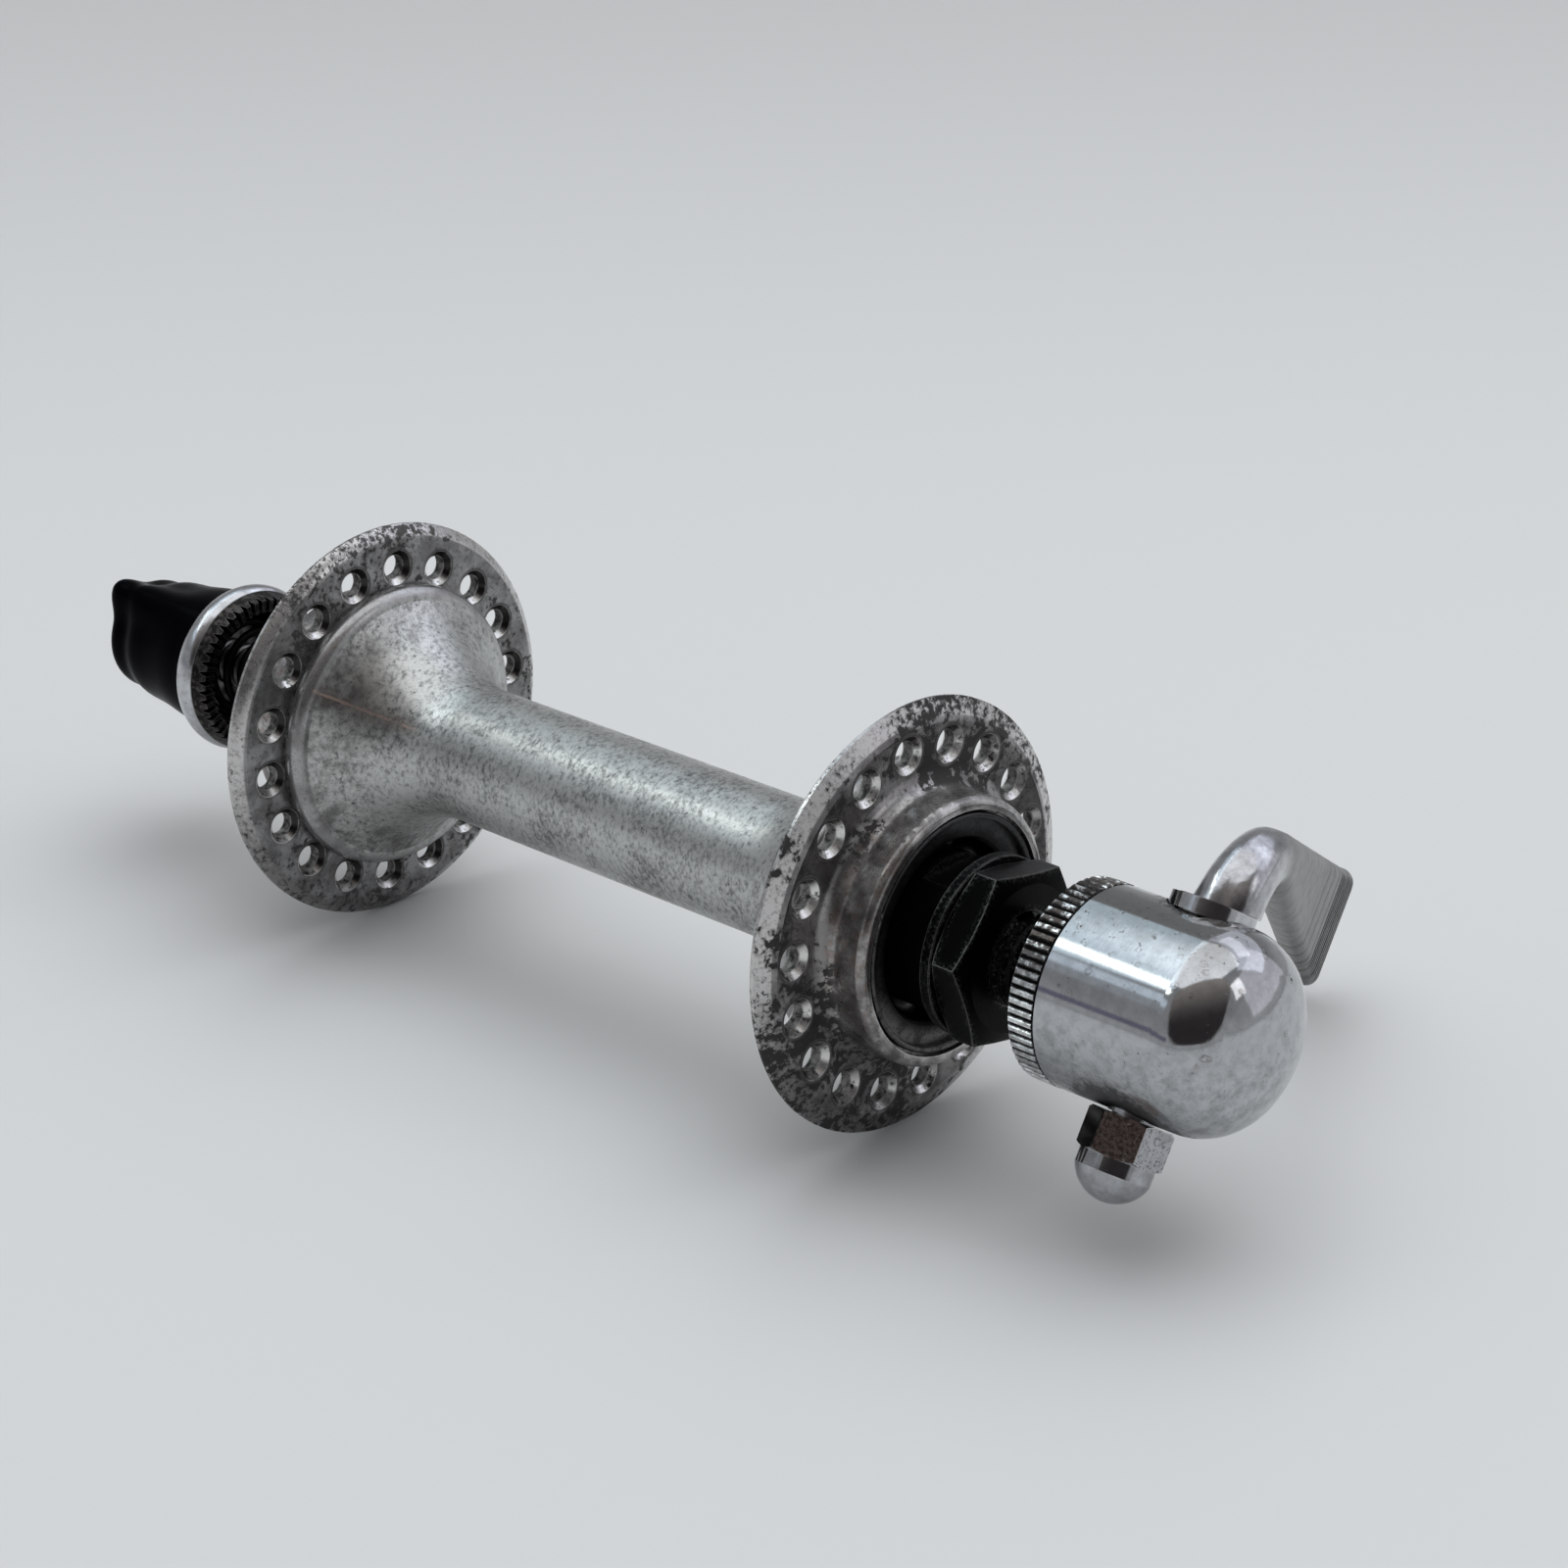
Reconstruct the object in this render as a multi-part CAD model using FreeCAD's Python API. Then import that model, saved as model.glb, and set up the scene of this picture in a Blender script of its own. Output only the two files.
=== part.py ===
# Front wheel hub of a bicycle with its hollow axle and quick-release skewer. Lengths are in millimetres.
# The axle lies along Y with the middle of the hub at the origin, and +Z is up. The lever is at the +Y end,
# drawn in its closed position, and the adjusting nut is at the -Y end.
import FreeCAD, Part
import math
import os

# Spare length of cutters past the faces they cut
cut_margin = 1.0
edge_margin = 0.1

# Ring grooves that stand for threads: shares of the pitch where a groove begins and its floor begins
groove_start_share = 0.15
groove_floor_share = 0.45

# Axle and the pieces screwed on it
over_lock_nuts = 100.0
axle_end_past_lock_nut = 5.0
axle_radius = 4.5
axle_bore_radius = 2.7
axle_thread_pitch = 1.0
axle_thread_depth = 0.45
axle_thread_length = 21.0
thread_clearance = 0.03
lock_nut_thickness = 3.6
lock_nut_across_flats = 15.8
lock_nut_face_radius = 7.05
lock_nut_bevel_depth = 0.7
lock_nut_back_bevel = 0.6
lock_nut_turn = 10.0
lock_washer_thickness = 1.2
lock_washer_radius = 8.7
lock_washer_bevel = 0.1
lock_washer_key_width = 2.0
lock_washer_key_depth = 0.7
axle_keyway_clearance = 0.1

# Ball bearings
ball_count = 10
ball_radius = 2.381
ball_circle_radius = 7.95
ball_plane_from_flange_face = 0.8
ball_running_gap = 0.05
race_wrap_degrees = 70.0
cone_lip_length = 1.8
cone_shoulder_length = 0.3
cone_collar_radius = 7.5
cone_collar_length = 2.2
cone_spanner_flats = 13.0
cup_wall = 0.87
cup_back_length = 3.2
cup_front_length = 3.3

# Hub shell
flange_radius = 21.1
flange_face = 37.4
flange_thickness = 2.3
flange_rim_width = 0.3
flange_bevel_width = 0.95
flange_bevel_height = 2.15
flange_crown_height = 1.35
crown_middle_share = 0.45
crown_middle_drop = 0.4
barrel_radius = 7.0
barrel_bore_radius = 5.8
barrel_straight_half = 21.0
flare_end_radius = 13.6
flare_end_before_flange = 2.3
bead_height = 1.1
boss_radius = 13.0
boss_fillet = 1.9
boss_end_past_flange = 4.8
boss_rounding = 0.8
bearing_bore_taper = 3.4
bearing_shoulder = 1.0
spoke_hole_count = 18
spoke_hole_radius = 1.25
spoke_hole_circle_radius = 16.75
spoke_hole_turn = 5.0
countersink_radius = 1.85
countersink_depth = 0.6

# Dust caps
dust_cap_seat_radius = 11.84
dust_cap_groove_width = 0.29
dust_cap_groove_depth = 1.0
dust_cap_rim_width = 0.65
dust_cap_recess = 0.8
dust_cap_thickness = 0.7
dust_cap_hole_radius = 8.8
dust_cap_hole_bevel = 0.3
dust_cap_lip_length = 0.9

# Quick-release housing at the lever end
dropout_gap = 6.0
housing_radius = 9.55
housing_edge_bevel = 0.25
clamp_ring_width = 2.8
clamp_ring_tip_radius = 9.6
clamp_ring_ridge_depth = 0.35
clamp_ring_ridge_count = 66
clamp_ring_lip = 1.0
ridge_flat_share = 0.3
clamp_face_inner_radius = 6.9
spigot_wall = 1.0
spring_recess_depth = 5.5
drill_tip_angle = 31.0
cam_axis_from_dropout_face = 17.0
dome_start_from_cam_axis = 4.4
dome_shoulder_radius = 6.0
dome_front_radius = 13.0
cam_axis_tilt = 32.0
washer_seat_height = 8.9
washer_seat_margin = 0.2
acorn_seat_height = 9.6
acorn_seat_margin = 0.3

# Skewer rod
rod_radius = 2.5
rod_thread_pitch = 0.8
rod_thread_depth = 0.4
rod_thread_length = 16.0
rod_end_past_grip_front = 11.0
rod_head_radius = 5.0
rod_head_half_thickness = 2.3
rod_head_wall = 1.6
rod_head_clearance = 0.15
rod_neck_length = 1.0
rod_head_bevel = 0.5
eye_clearance = 0.05

# Cam shaft and lever
cam_throw = 0.7
straight_line_error = 0.2105
cam_radius = 2.5
cam_half_length = 2.7
upper_journal_radius = 3.3
lower_journal_radius = 2.45
journal_clearance = 0.05
shaft_thread_radius = 2.0
shaft_thread_length = 4.7
lever_washer_radius = 3.95
lever_washer_thickness = 1.35
washer_gap = 0.1
lever_root_width = 6.2
lever_root_offset = 0.5
lever_root_outset = 1.0
lever_arm_outset = 1.8
lever_swing_in = 21.9
lever_length = 53.6
elbow_rise = 6.05
elbow_reach = 8.0
lever_neck_width = 4.9
lever_neck_thickness = 4.4
lever_fall = 2.25
lever_tip_width = 12.3
lever_step_count = 12
lever_thinning = 3
lever_tip_thickness = 3.0
lever_tip_rounding = 2.4
lever_corner_share = 0.42
grip_rib_count = 9
grip_rib_pitch = 1.15
grip_rib_radius = 0.4
grip_rib_standoff = 0.15
grip_rib_from_tip = 1.6

# Acorn nut
acorn_across_flats = 7.0
acorn_hex_height = 3.8
acorn_collar_radius = 3.5
acorn_collar_height = 1.3
acorn_dome_height = 2.6
acorn_bevel = 0.35
acorn_turn = 8.7
acorn_thread_spare = 0.4
acorn_dome_root = 0.5

# Adjusting nut
nut_ring_width = 4.1
nut_ring_radius = 9.2
nut_ring_crown = 0.4
nut_ring_bevel = 1.7
nut_tooth_count = 48
nut_tooth_depth = 0.9
nut_tooth_gap_share = 0.55
nut_tooth_face_radius = 8.2
grip_length = 15.8
grip_root_radius = 8.05
grip_end_radius = 6.1
grip_end_rounding = 1.5
grip_wing_radius = 8.6
grip_wing_sharpness = 22
grip_wing_turn = 56.0
grip_outline_points = 72
insert_radius = 4.3
insert_length = 10.0
insert_flange_thickness = 1.0
rod_thread_clearance = 0.03

# Volute springs
spring_wire_radius = 0.45
spring_small_radius = 3.6
spring_large_radius = 5.9
spring_turns = 3.5
spring_seat_gap = 0.05

# Places along the axle that follow from the sizes
lock_nut_face = over_lock_nuts / 2
axle_end = lock_nut_face + axle_end_past_lock_nut
lock_nut_back = lock_nut_face - lock_nut_thickness
washer_back = lock_nut_back - lock_washer_thickness
ball_plane = flange_face - ball_plane_from_flange_face
race_radius = ball_radius + ball_running_gap
cup_outer_radius = ball_circle_radius + race_radius + cup_wall
cup_back = ball_plane - cup_back_length
cup_front = ball_plane + cup_front_length
boss_end = flange_face + boss_end_past_flange
clamp_face = lock_nut_face + dropout_gap
spring_floor = clamp_face + spring_recess_depth
spigot_radius = clamp_face_inner_radius + spigot_wall
cam_axis_place = lock_nut_face + cam_axis_from_dropout_face
dome_start = cam_axis_place + dome_start_from_cam_axis
washer_bottom = washer_seat_height + washer_gap
lever_root = washer_bottom + lever_washer_thickness + washer_gap
eye_half_width = cam_radius + straight_line_error * cam_throw + eye_clearance
eye_half_length = cam_radius + cam_throw + eye_clearance + rod_head_clearance
rod_head_half_length = eye_half_width + rod_head_wall
rod_head_place = cam_axis_place + cam_throw
cavity_end = rod_head_place + rod_head_half_length + rod_head_clearance
grip_front = clamp_face + nut_ring_width
grip_end = grip_front + grip_length
rod_end = grip_front + rod_end_past_grip_front

# Directions of the cam shaft and of the closed lever
Y_AXIS = FreeCAD.Vector(0, 1, 0)
tilt = math.radians(cam_axis_tilt)
swing = math.radians(lever_swing_in)
cam_direction = FreeCAD.Vector(-math.sin(tilt), 0, math.cos(tilt))
side_direction = cam_direction.cross(Y_AXIS)
arm_direction = side_direction * math.cos(swing) - Y_AXIS * math.sin(swing)
cam_origin = FreeCAD.Vector(0, cam_axis_place, 0)


def between(first, last, share):
    """Value a share of the way from the first to the last."""
    return first + (last - first) * share


def point_at(centre, radius, degrees):
    """Point of a profile on a circle: centre and result are (y, r)."""
    angle = math.radians(degrees)
    return (centre[0] + radius * math.cos(angle), centre[1] + radius * math.sin(angle))


def turned(*outline):
    """Solid of revolution about the axle. An item is a point (y, r), or an arc (middle point, end point)."""
    def vector(point):
        return FreeCAD.Vector(point[1], point[0], 0)

    edges = []
    here = outline[0]
    for item in outline[1:] + outline[:1]:
        if isinstance(item[0], tuple):
            middle, end = item
            edges.append(Part.Arc(vector(here), vector(middle), vector(end)).toShape())
        else:
            end = item
            edges.append(Part.makeLine(vector(here), vector(end)))
        here = end
    solid = Part.Face(Part.Wire(edges)).revolve(FreeCAD.Vector(0, 0, 0), Y_AXIS, 360)
    if solid.Volume < 0:
        solid.reverse()
    return solid


def on_nut_side(shape):
    """The same piece at the -Y end."""
    return shape.mirror(FreeCAD.Vector(0, 0, 0), Y_AXIS)


def cylinder(radius, start, direction, length):
    return Part.makeCylinder(radius, length, start, direction)


def along_y(radius, start, end):
    return cylinder(radius, FreeCAD.Vector(0, start, 0), Y_AXIS, end - start)


def around_axle(shape, count, first_degrees):
    """Copies of a shape turned about the axle. Degrees go from +X towards +Z."""
    copies = []
    for number in range(count):
        copy = shape.copy()
        copy.rotate(FreeCAD.Vector(0, 0, 0), Y_AXIS, -(first_degrees + 360.0 * number / count))
        copies.append(copy)
    return copies


def thread_grooves(first, length, pitch, crest_radius, depth):
    """Profile points of ring grooves that stand for a thread, from y = first upwards."""
    points = []
    for number in range(int(length / pitch)):
        start = first + number * pitch
        points.append((start + groove_start_share * pitch, crest_radius))
        points.append((start + groove_floor_share * pitch, crest_radius - depth))
        points.append((start + (1 - groove_floor_share) * pitch, crest_radius - depth))
        points.append((start + (1 - groove_start_share) * pitch, crest_radius))
    return points


def hexagon(across_flats, start, direction, corner, height):
    """Hexagonal prism. The corner vector points from the axis to a first corner."""
    unit = FreeCAD.Vector(corner).normalize()
    points = []
    for number in range(7):
        turn = FreeCAD.Rotation(direction, 60.0 * number)
        points.append(start + turn.multVec(unit) * (across_flats / math.sqrt(3)))
    return Part.Face(Part.makePolygon(points)).extrude(FreeCAD.Vector(direction).normalize() * height)


def star_prism(tip_radius, depth, count, start, end):
    """Prism along Y whose outline has pointed ridges with narrow flats."""
    points = []
    for number in range(count):
        for share, radius in ((0, tip_radius - depth), (ridge_flat_share, tip_radius),
                              (1 - ridge_flat_share, tip_radius)):
            angle = 2 * math.pi * (number + share) / count
            points.append(FreeCAD.Vector(radius * math.cos(angle), start, radius * math.sin(angle)))
    points.append(points[0])
    return Part.Face(Part.makePolygon(points)).extrude(Y_AXIS * (end - start))


def make_axle():
    """Hollow axle, threaded at both ends, with a keyway for the lock washers."""
    groove_start = axle_end - axle_thread_length
    half = turned(
        (0, axle_bore_radius),
        (0, axle_radius),
        *thread_grooves(groove_start, axle_thread_length, axle_thread_pitch, axle_radius, axle_thread_depth),
        (axle_end, axle_radius - axle_thread_depth),
        (axle_end, axle_bore_radius),
    )
    axle = half.fuse(on_nut_side(half)).removeSplitter()
    key_width = lock_washer_key_width + 2 * axle_keyway_clearance
    key_floor = axle_radius - lock_washer_key_depth - axle_keyway_clearance
    keyway = Part.makeBox(key_width, axle_end - groove_start, axle_radius,
                          FreeCAD.Vector(-key_width / 2, groove_start, key_floor))
    return axle.cut(keyway).cut(on_nut_side(keyway))


def make_cone():
    """Bearing cone with its ball race and spanner flats."""
    bore = axle_radius + thread_clearance
    ball = (ball_plane, ball_circle_radius)
    race_end = point_at(ball, race_radius, -90 + race_wrap_degrees)
    race_root = point_at(ball, race_radius, -90)
    cone = turned(
        (ball_plane - cone_lip_length, bore),
        (ball_plane - cone_lip_length, race_root[1]),
        race_root,
        (point_at(ball, race_radius, -90 + race_wrap_degrees / 2), race_end),
        (race_end[0] + cone_shoulder_length, cone_collar_radius),
        (washer_back, cone_collar_radius),
        (washer_back, bore),
    )
    flats_start = race_end[0] + cone_shoulder_length + cone_collar_length
    block = Part.makeBox(4 * cone_collar_radius, washer_back - flats_start, cone_collar_radius)
    block.translate(FreeCAD.Vector(-2 * cone_collar_radius, flats_start, cone_spanner_flats / 2))
    return cone.cut(Part.makeCompound(around_axle(block, 2, 0)))


def make_lock_washer():
    """Keyed washer between cone and lock nut."""
    washer = turned(
        (washer_back, axle_radius + thread_clearance),
        (washer_back, lock_washer_radius - lock_washer_bevel),
        (washer_back + lock_washer_bevel, lock_washer_radius),
        (lock_nut_back - lock_washer_bevel, lock_washer_radius),
        (lock_nut_back, lock_washer_radius - lock_washer_bevel),
        (lock_nut_back, axle_radius + thread_clearance),
    )
    key_corner = FreeCAD.Vector(-lock_washer_key_width / 2, washer_back, axle_radius - lock_washer_key_depth)
    key_height = cut_margin + lock_washer_key_depth
    key = Part.makeBox(lock_washer_key_width, lock_washer_thickness, key_height, key_corner)
    return washer.fuse(key).removeSplitter()


def make_lock_nut():
    """Hexagonal lock nut with a bevelled outer face. The fork dropout bears on that face."""
    corner_radius = lock_nut_across_flats / math.sqrt(3)
    bevel_start = lock_nut_face - lock_nut_bevel_depth
    envelope = turned(
        (lock_nut_back, axle_radius + thread_clearance),
        (lock_nut_back, lock_nut_across_flats / 2),
        (lock_nut_back + lock_nut_back_bevel, corner_radius + edge_margin),
        (bevel_start, corner_radius + edge_margin),
        (lock_nut_face, lock_nut_face_radius),
        (lock_nut_face, axle_radius + thread_clearance),
    )
    angle = math.radians(lock_nut_turn)
    corner = FreeCAD.Vector(math.cos(angle), 0, math.sin(angle))
    prism = hexagon(lock_nut_across_flats, FreeCAD.Vector(0, lock_nut_back, 0), Y_AXIS, corner,
                    lock_nut_thickness)
    return envelope.common(prism)


def make_hub_shell():
    """One-piece aluminium shell: barrel, flares, drilled flanges and bearing bosses."""
    inner_face = flange_face - flange_thickness
    flare_end = inner_face - flare_end_before_flange
    flare_run = flare_end - barrel_straight_half
    flare_rise = flare_end_radius - barrel_radius
    flare_radius = (flare_run ** 2 + flare_rise ** 2) / (2 * flare_rise)
    flare_centre = (barrel_straight_half, barrel_radius + flare_radius)
    flare_turn = math.degrees(math.asin(flare_run / flare_radius))
    bead_rounding = (flare_end_before_flange ** 2 + bead_height ** 2) / (2 * flare_end_before_flange)
    bead_centre = (flare_end + bead_rounding, flare_end_radius)
    bead_last = math.degrees(math.atan2(bead_height, inner_face - bead_centre[0]))
    rim_start = flange_face - flange_bevel_width - flange_rim_width
    crown_start = flange_radius - flange_crown_height
    crown_middle = (between(inner_face, rim_start, crown_middle_share),
                    flange_radius - crown_middle_drop * flange_crown_height)
    fillet_centre = (flange_face + boss_fillet, boss_radius + boss_fillet)
    rounding_centre = (boss_end - boss_rounding, boss_radius - boss_rounding)
    half = turned(
        (0, barrel_bore_radius),
        (0, barrel_radius),
        (barrel_straight_half, barrel_radius),
        (point_at(flare_centre, flare_radius, -90 + flare_turn / 2), (flare_end, flare_end_radius)),
        (point_at(bead_centre, bead_rounding, (180 + bead_last) / 2),
         (inner_face, flare_end_radius + bead_height)),
        (inner_face, crown_start),
        (crown_middle, (rim_start, flange_radius)),
        (flange_face - flange_bevel_width, flange_radius),
        (flange_face, flange_radius - flange_bevel_height),
        (flange_face, boss_radius + boss_fillet),
        (point_at(fillet_centre, boss_fillet, 225), (flange_face + boss_fillet, boss_radius)),
        (boss_end - boss_rounding, boss_radius),
        (point_at(rounding_centre, boss_rounding, 45), (boss_end, boss_radius - boss_rounding)),
        (boss_end, dust_cap_seat_radius),
        (cup_front, dust_cap_seat_radius),
        (cup_front, cup_outer_radius),
        (cup_back, cup_outer_radius),
        (cup_back, ball_circle_radius + bearing_shoulder),
        (cup_back - bearing_bore_taper, barrel_bore_radius),
    )
    half_pitch = 180.0 / spoke_hole_count
    lever_half = half.cut(spoke_cutters(spoke_hole_turn))
    nut_half = on_nut_side(half.cut(spoke_cutters(spoke_hole_turn + half_pitch)))
    return lever_half.fuse(nut_half).removeSplitter()


def spoke_cutters(first_degrees):
    """Holes of one flange, countersunk on both faces."""
    inner_face = flange_face - flange_thickness
    place = FreeCAD.Vector(spoke_hole_circle_radius, inner_face - cut_margin, 0)
    hole = cylinder(spoke_hole_radius, place, Y_AXIS, flange_thickness + 2 * cut_margin)
    wide = countersink_radius + edge_margin
    depth = countersink_depth + edge_margin
    outer_place = FreeCAD.Vector(spoke_hole_circle_radius, flange_face - countersink_depth, 0)
    outer_sink = Part.makeCone(spoke_hole_radius, wide, depth, outer_place, Y_AXIS)
    inner_place = FreeCAD.Vector(spoke_hole_circle_radius, inner_face - edge_margin, 0)
    inner_sink = Part.makeCone(wide, spoke_hole_radius, depth, inner_place, Y_AXIS)
    return Part.makeCompound(around_axle(hole.fuse([outer_sink, inner_sink]), spoke_hole_count, first_degrees))


def make_bearing_cup():
    """Pressed bearing cup with its ball race."""
    ball = (ball_plane, ball_circle_radius)
    race_top = point_at(ball, race_radius, 90)
    race_end = point_at(ball, race_radius, 90 + race_wrap_degrees)
    return turned(
        (cup_front, cup_outer_radius),
        (cup_front, race_top[1]),
        race_top,
        (point_at(ball, race_radius, 90 + race_wrap_degrees / 2), race_end),
        (cup_back, race_end[1]),
        (cup_back, cup_outer_radius),
    )


def make_dust_cap():
    """Pressed cap that closes the bearing, with a rolled rim and a recessed face round the cone."""
    rim_radius = dust_cap_seat_radius - dust_cap_groove_width
    rim_inside = rim_radius - dust_cap_rim_width
    shoulder = boss_end - dust_cap_groove_depth
    face = boss_end - dust_cap_recess
    under = face - dust_cap_thickness
    half_rim = dust_cap_rim_width / 2
    rim_centre = (boss_end - half_rim, rim_radius - half_rim)
    return turned(
        (cup_front, dust_cap_seat_radius),
        (shoulder, dust_cap_seat_radius),
        (shoulder, rim_radius),
        (boss_end - half_rim, rim_radius),
        (point_at(rim_centre, half_rim, 0), (boss_end - half_rim, rim_inside)),
        (face, rim_inside),
        (face, dust_cap_hole_radius + dust_cap_hole_bevel),
        (face - dust_cap_hole_bevel, dust_cap_hole_radius),
        (face - dust_cap_lip_length, dust_cap_hole_radius),
        (face - dust_cap_lip_length, dust_cap_hole_radius + dust_cap_thickness),
        (under, dust_cap_hole_radius + dust_cap_thickness),
        (under, rim_inside),
        (cup_front, rim_inside),
    )


def make_balls():
    """Ring of bearing balls in the lever-side race."""
    ball = Part.makeSphere(ball_radius, FreeCAD.Vector(ball_circle_radius, ball_plane, 0))
    return Part.makeCompound(around_axle(ball, ball_count, 0))


def make_cam_housing():
    """Domed housing of the cam: hollow for spring and rod head, bored across for the cam shaft."""
    spigot_start = clamp_face + clamp_ring_lip
    ring_end = clamp_face + clamp_ring_width
    cavity_radius = rod_head_radius + rod_head_clearance
    drill_tip = cavity_end + cavity_radius * math.tan(math.radians(drill_tip_angle))
    shoulder_centre = (dome_start, housing_radius - dome_shoulder_radius)
    between_centres = dome_front_radius - dome_shoulder_radius
    front_turn = math.degrees(math.asin(shoulder_centre[1] / between_centres))
    front_centre = (dome_start - between_centres * math.cos(math.radians(front_turn)), 0)
    body = turned(
        (spigot_start, clamp_face_inner_radius),
        (spigot_start, spigot_radius),
        (ring_end, spigot_radius),
        (ring_end, housing_radius - housing_edge_bevel),
        (ring_end + housing_edge_bevel, housing_radius),
        (dome_start, housing_radius),
        (point_at(shoulder_centre, dome_shoulder_radius, (90 + front_turn) / 2),
         point_at(shoulder_centre, dome_shoulder_radius, front_turn)),
        (point_at(front_centre, dome_front_radius, front_turn / 2),
         point_at(front_centre, dome_front_radius, 0)),
        (drill_tip, 0),
        (cavity_end, cavity_radius),
        (spring_floor, cavity_radius),
        (spring_floor, clamp_face_inner_radius),
    )
    reach = housing_radius + cut_margin
    upper_bore = cylinder(upper_journal_radius + journal_clearance, cam_origin, cam_direction, reach)
    lower_bore = cylinder(lower_journal_radius + journal_clearance, cam_origin, cam_direction * -1, reach)
    washer_place = cam_origin + cam_direction * washer_seat_height
    washer_seat = cylinder(lever_washer_radius + washer_seat_margin, washer_place, cam_direction,
                           housing_radius)
    acorn_seat = cylinder(acorn_across_flats / math.sqrt(3) + acorn_seat_margin,
                          cam_origin - cam_direction * acorn_seat_height, cam_direction * -1, housing_radius)
    bores = Part.makeCompound([upper_bore, lower_bore])
    seats = Part.makeCompound([washer_seat, acorn_seat])
    return body.cut(bores).cut(seats)


def make_lever_side_ring():
    """Knurled steel clamp ring pressed on the housing. It bites into the fork dropout."""
    spigot_start = clamp_face + clamp_ring_lip
    ring_end = clamp_face + clamp_ring_width
    ring = star_prism(clamp_ring_tip_radius, clamp_ring_ridge_depth, clamp_ring_ridge_count,
                      clamp_face, ring_end)
    bore = along_y(clamp_face_inner_radius, clamp_face - cut_margin, ring_end + cut_margin)
    seat = along_y(spigot_radius, spigot_start, ring_end + cut_margin)
    bevel = turned(
        (clamp_face, clamp_face_inner_radius - cut_margin),
        (clamp_face, clamp_ring_tip_radius - clamp_ring_ridge_depth),
        (clamp_face + clamp_ring_ridge_depth, clamp_ring_tip_radius + edge_margin),
        (ring_end, clamp_ring_tip_radius + edge_margin),
        (ring_end, clamp_face_inner_radius - cut_margin),
    )
    return ring.common(bevel).cut(bore).cut(seat)


def make_skewer_rod():
    """Skewer rod: flattened head with an oblong eye for the cam, plain shank, thread for the nut."""
    thread_start = rod_end - rod_thread_length
    head_start = rod_head_place - rod_head_half_length
    head_end = rod_head_place + rod_head_half_length
    grooves = thread_grooves(thread_start, rod_thread_length, rod_thread_pitch, rod_radius, rod_thread_depth)
    threaded = [(-y, r) for y, r in reversed(grooves)]
    rod = turned(
        (-rod_end, 0),
        (-rod_end, rod_radius - rod_thread_depth),
        *threaded,
        (-thread_start, rod_radius),
        (head_start - rod_neck_length, rod_radius),
        (head_start, rod_head_radius - rod_head_bevel),
        (head_start + rod_head_bevel, rod_head_radius),
        (head_end - rod_head_bevel, rod_head_radius),
        (head_end, rod_head_radius - rod_head_bevel),
        (head_end, 0),
    )
    centre = FreeCAD.Vector(0, rod_head_place, 0)
    for sign in (1, -1):
        start = centre + cam_direction * (sign * rod_head_half_thickness)
        rod = rod.cut(cylinder(2 * rod_head_radius, start, cam_direction * sign, rod_head_radius))
    return rod.cut(oblong(centre, eye_half_length, eye_half_width, 2 * rod_head_radius))


def oblong(centre, half_length, half_width, height):
    """Oblong cutter along the cam shaft, longer across the axle than along it."""
    offset = half_length - half_width
    pieces = []
    for sign in (1, -1):
        start = centre + side_direction * (sign * offset) - cam_direction * (height / 2)
        pieces.append(cylinder(half_width, start, cam_direction, height))
    corners = []
    for across, along in ((1, 1), (1, -1), (-1, -1), (-1, 1), (1, 1)):
        corners.append(centre + side_direction * (across * offset) + Y_AXIS * (along * half_width)
                       - cam_direction * (height / 2))
    middle = Part.Face(Part.makePolygon(corners)).extrude(cam_direction * height)
    return middle.fuse(pieces).removeSplitter()


def lever_point(along, inward, up):
    """Point of the lever: along the closed arm, inward to the hub, and up the cam shaft."""
    inward_direction = cam_direction.cross(arm_direction)
    return cam_origin + arm_direction * along + inward_direction * inward + cam_direction * up


def lever_section(along, up, turn_degrees, outset, width, thickness):
    """Rounded rectangle across the lever's path. Turn 0 looks up the shaft, 90 along the arm."""
    turn = math.radians(turn_degrees)
    half_width = width / 2
    half_thickness = thickness / 2
    corner = lever_corner_share * min(width, thickness)
    bulge = corner * (1 - math.sqrt(0.5))

    def place(across, inward):
        return lever_point(along - across * math.cos(turn), inward - outset, up + across * math.sin(turn))

    edges = []
    for sign_across, sign_inward in ((1, 1), (-1, 1), (-1, -1), (1, -1)):
        flat = (sign_across * (half_width - corner), sign_inward * half_thickness)
        side = (sign_across * half_width, sign_inward * (half_thickness - corner))
        middle = (sign_across * (half_width - bulge), sign_inward * (half_thickness - bulge))
        start, end = (side, flat) if sign_across * sign_inward > 0 else (flat, side)
        edges.append((place(*start), place(*middle), place(*end)))
    outline = []
    for number, (start, middle, end) in enumerate(edges):
        outline.append(Part.Arc(start, middle, end).toShape())
        following = edges[(number + 1) % 4][0]
        outline.append(Part.makeLine(end, following))
    return Part.Wire(outline)


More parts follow.
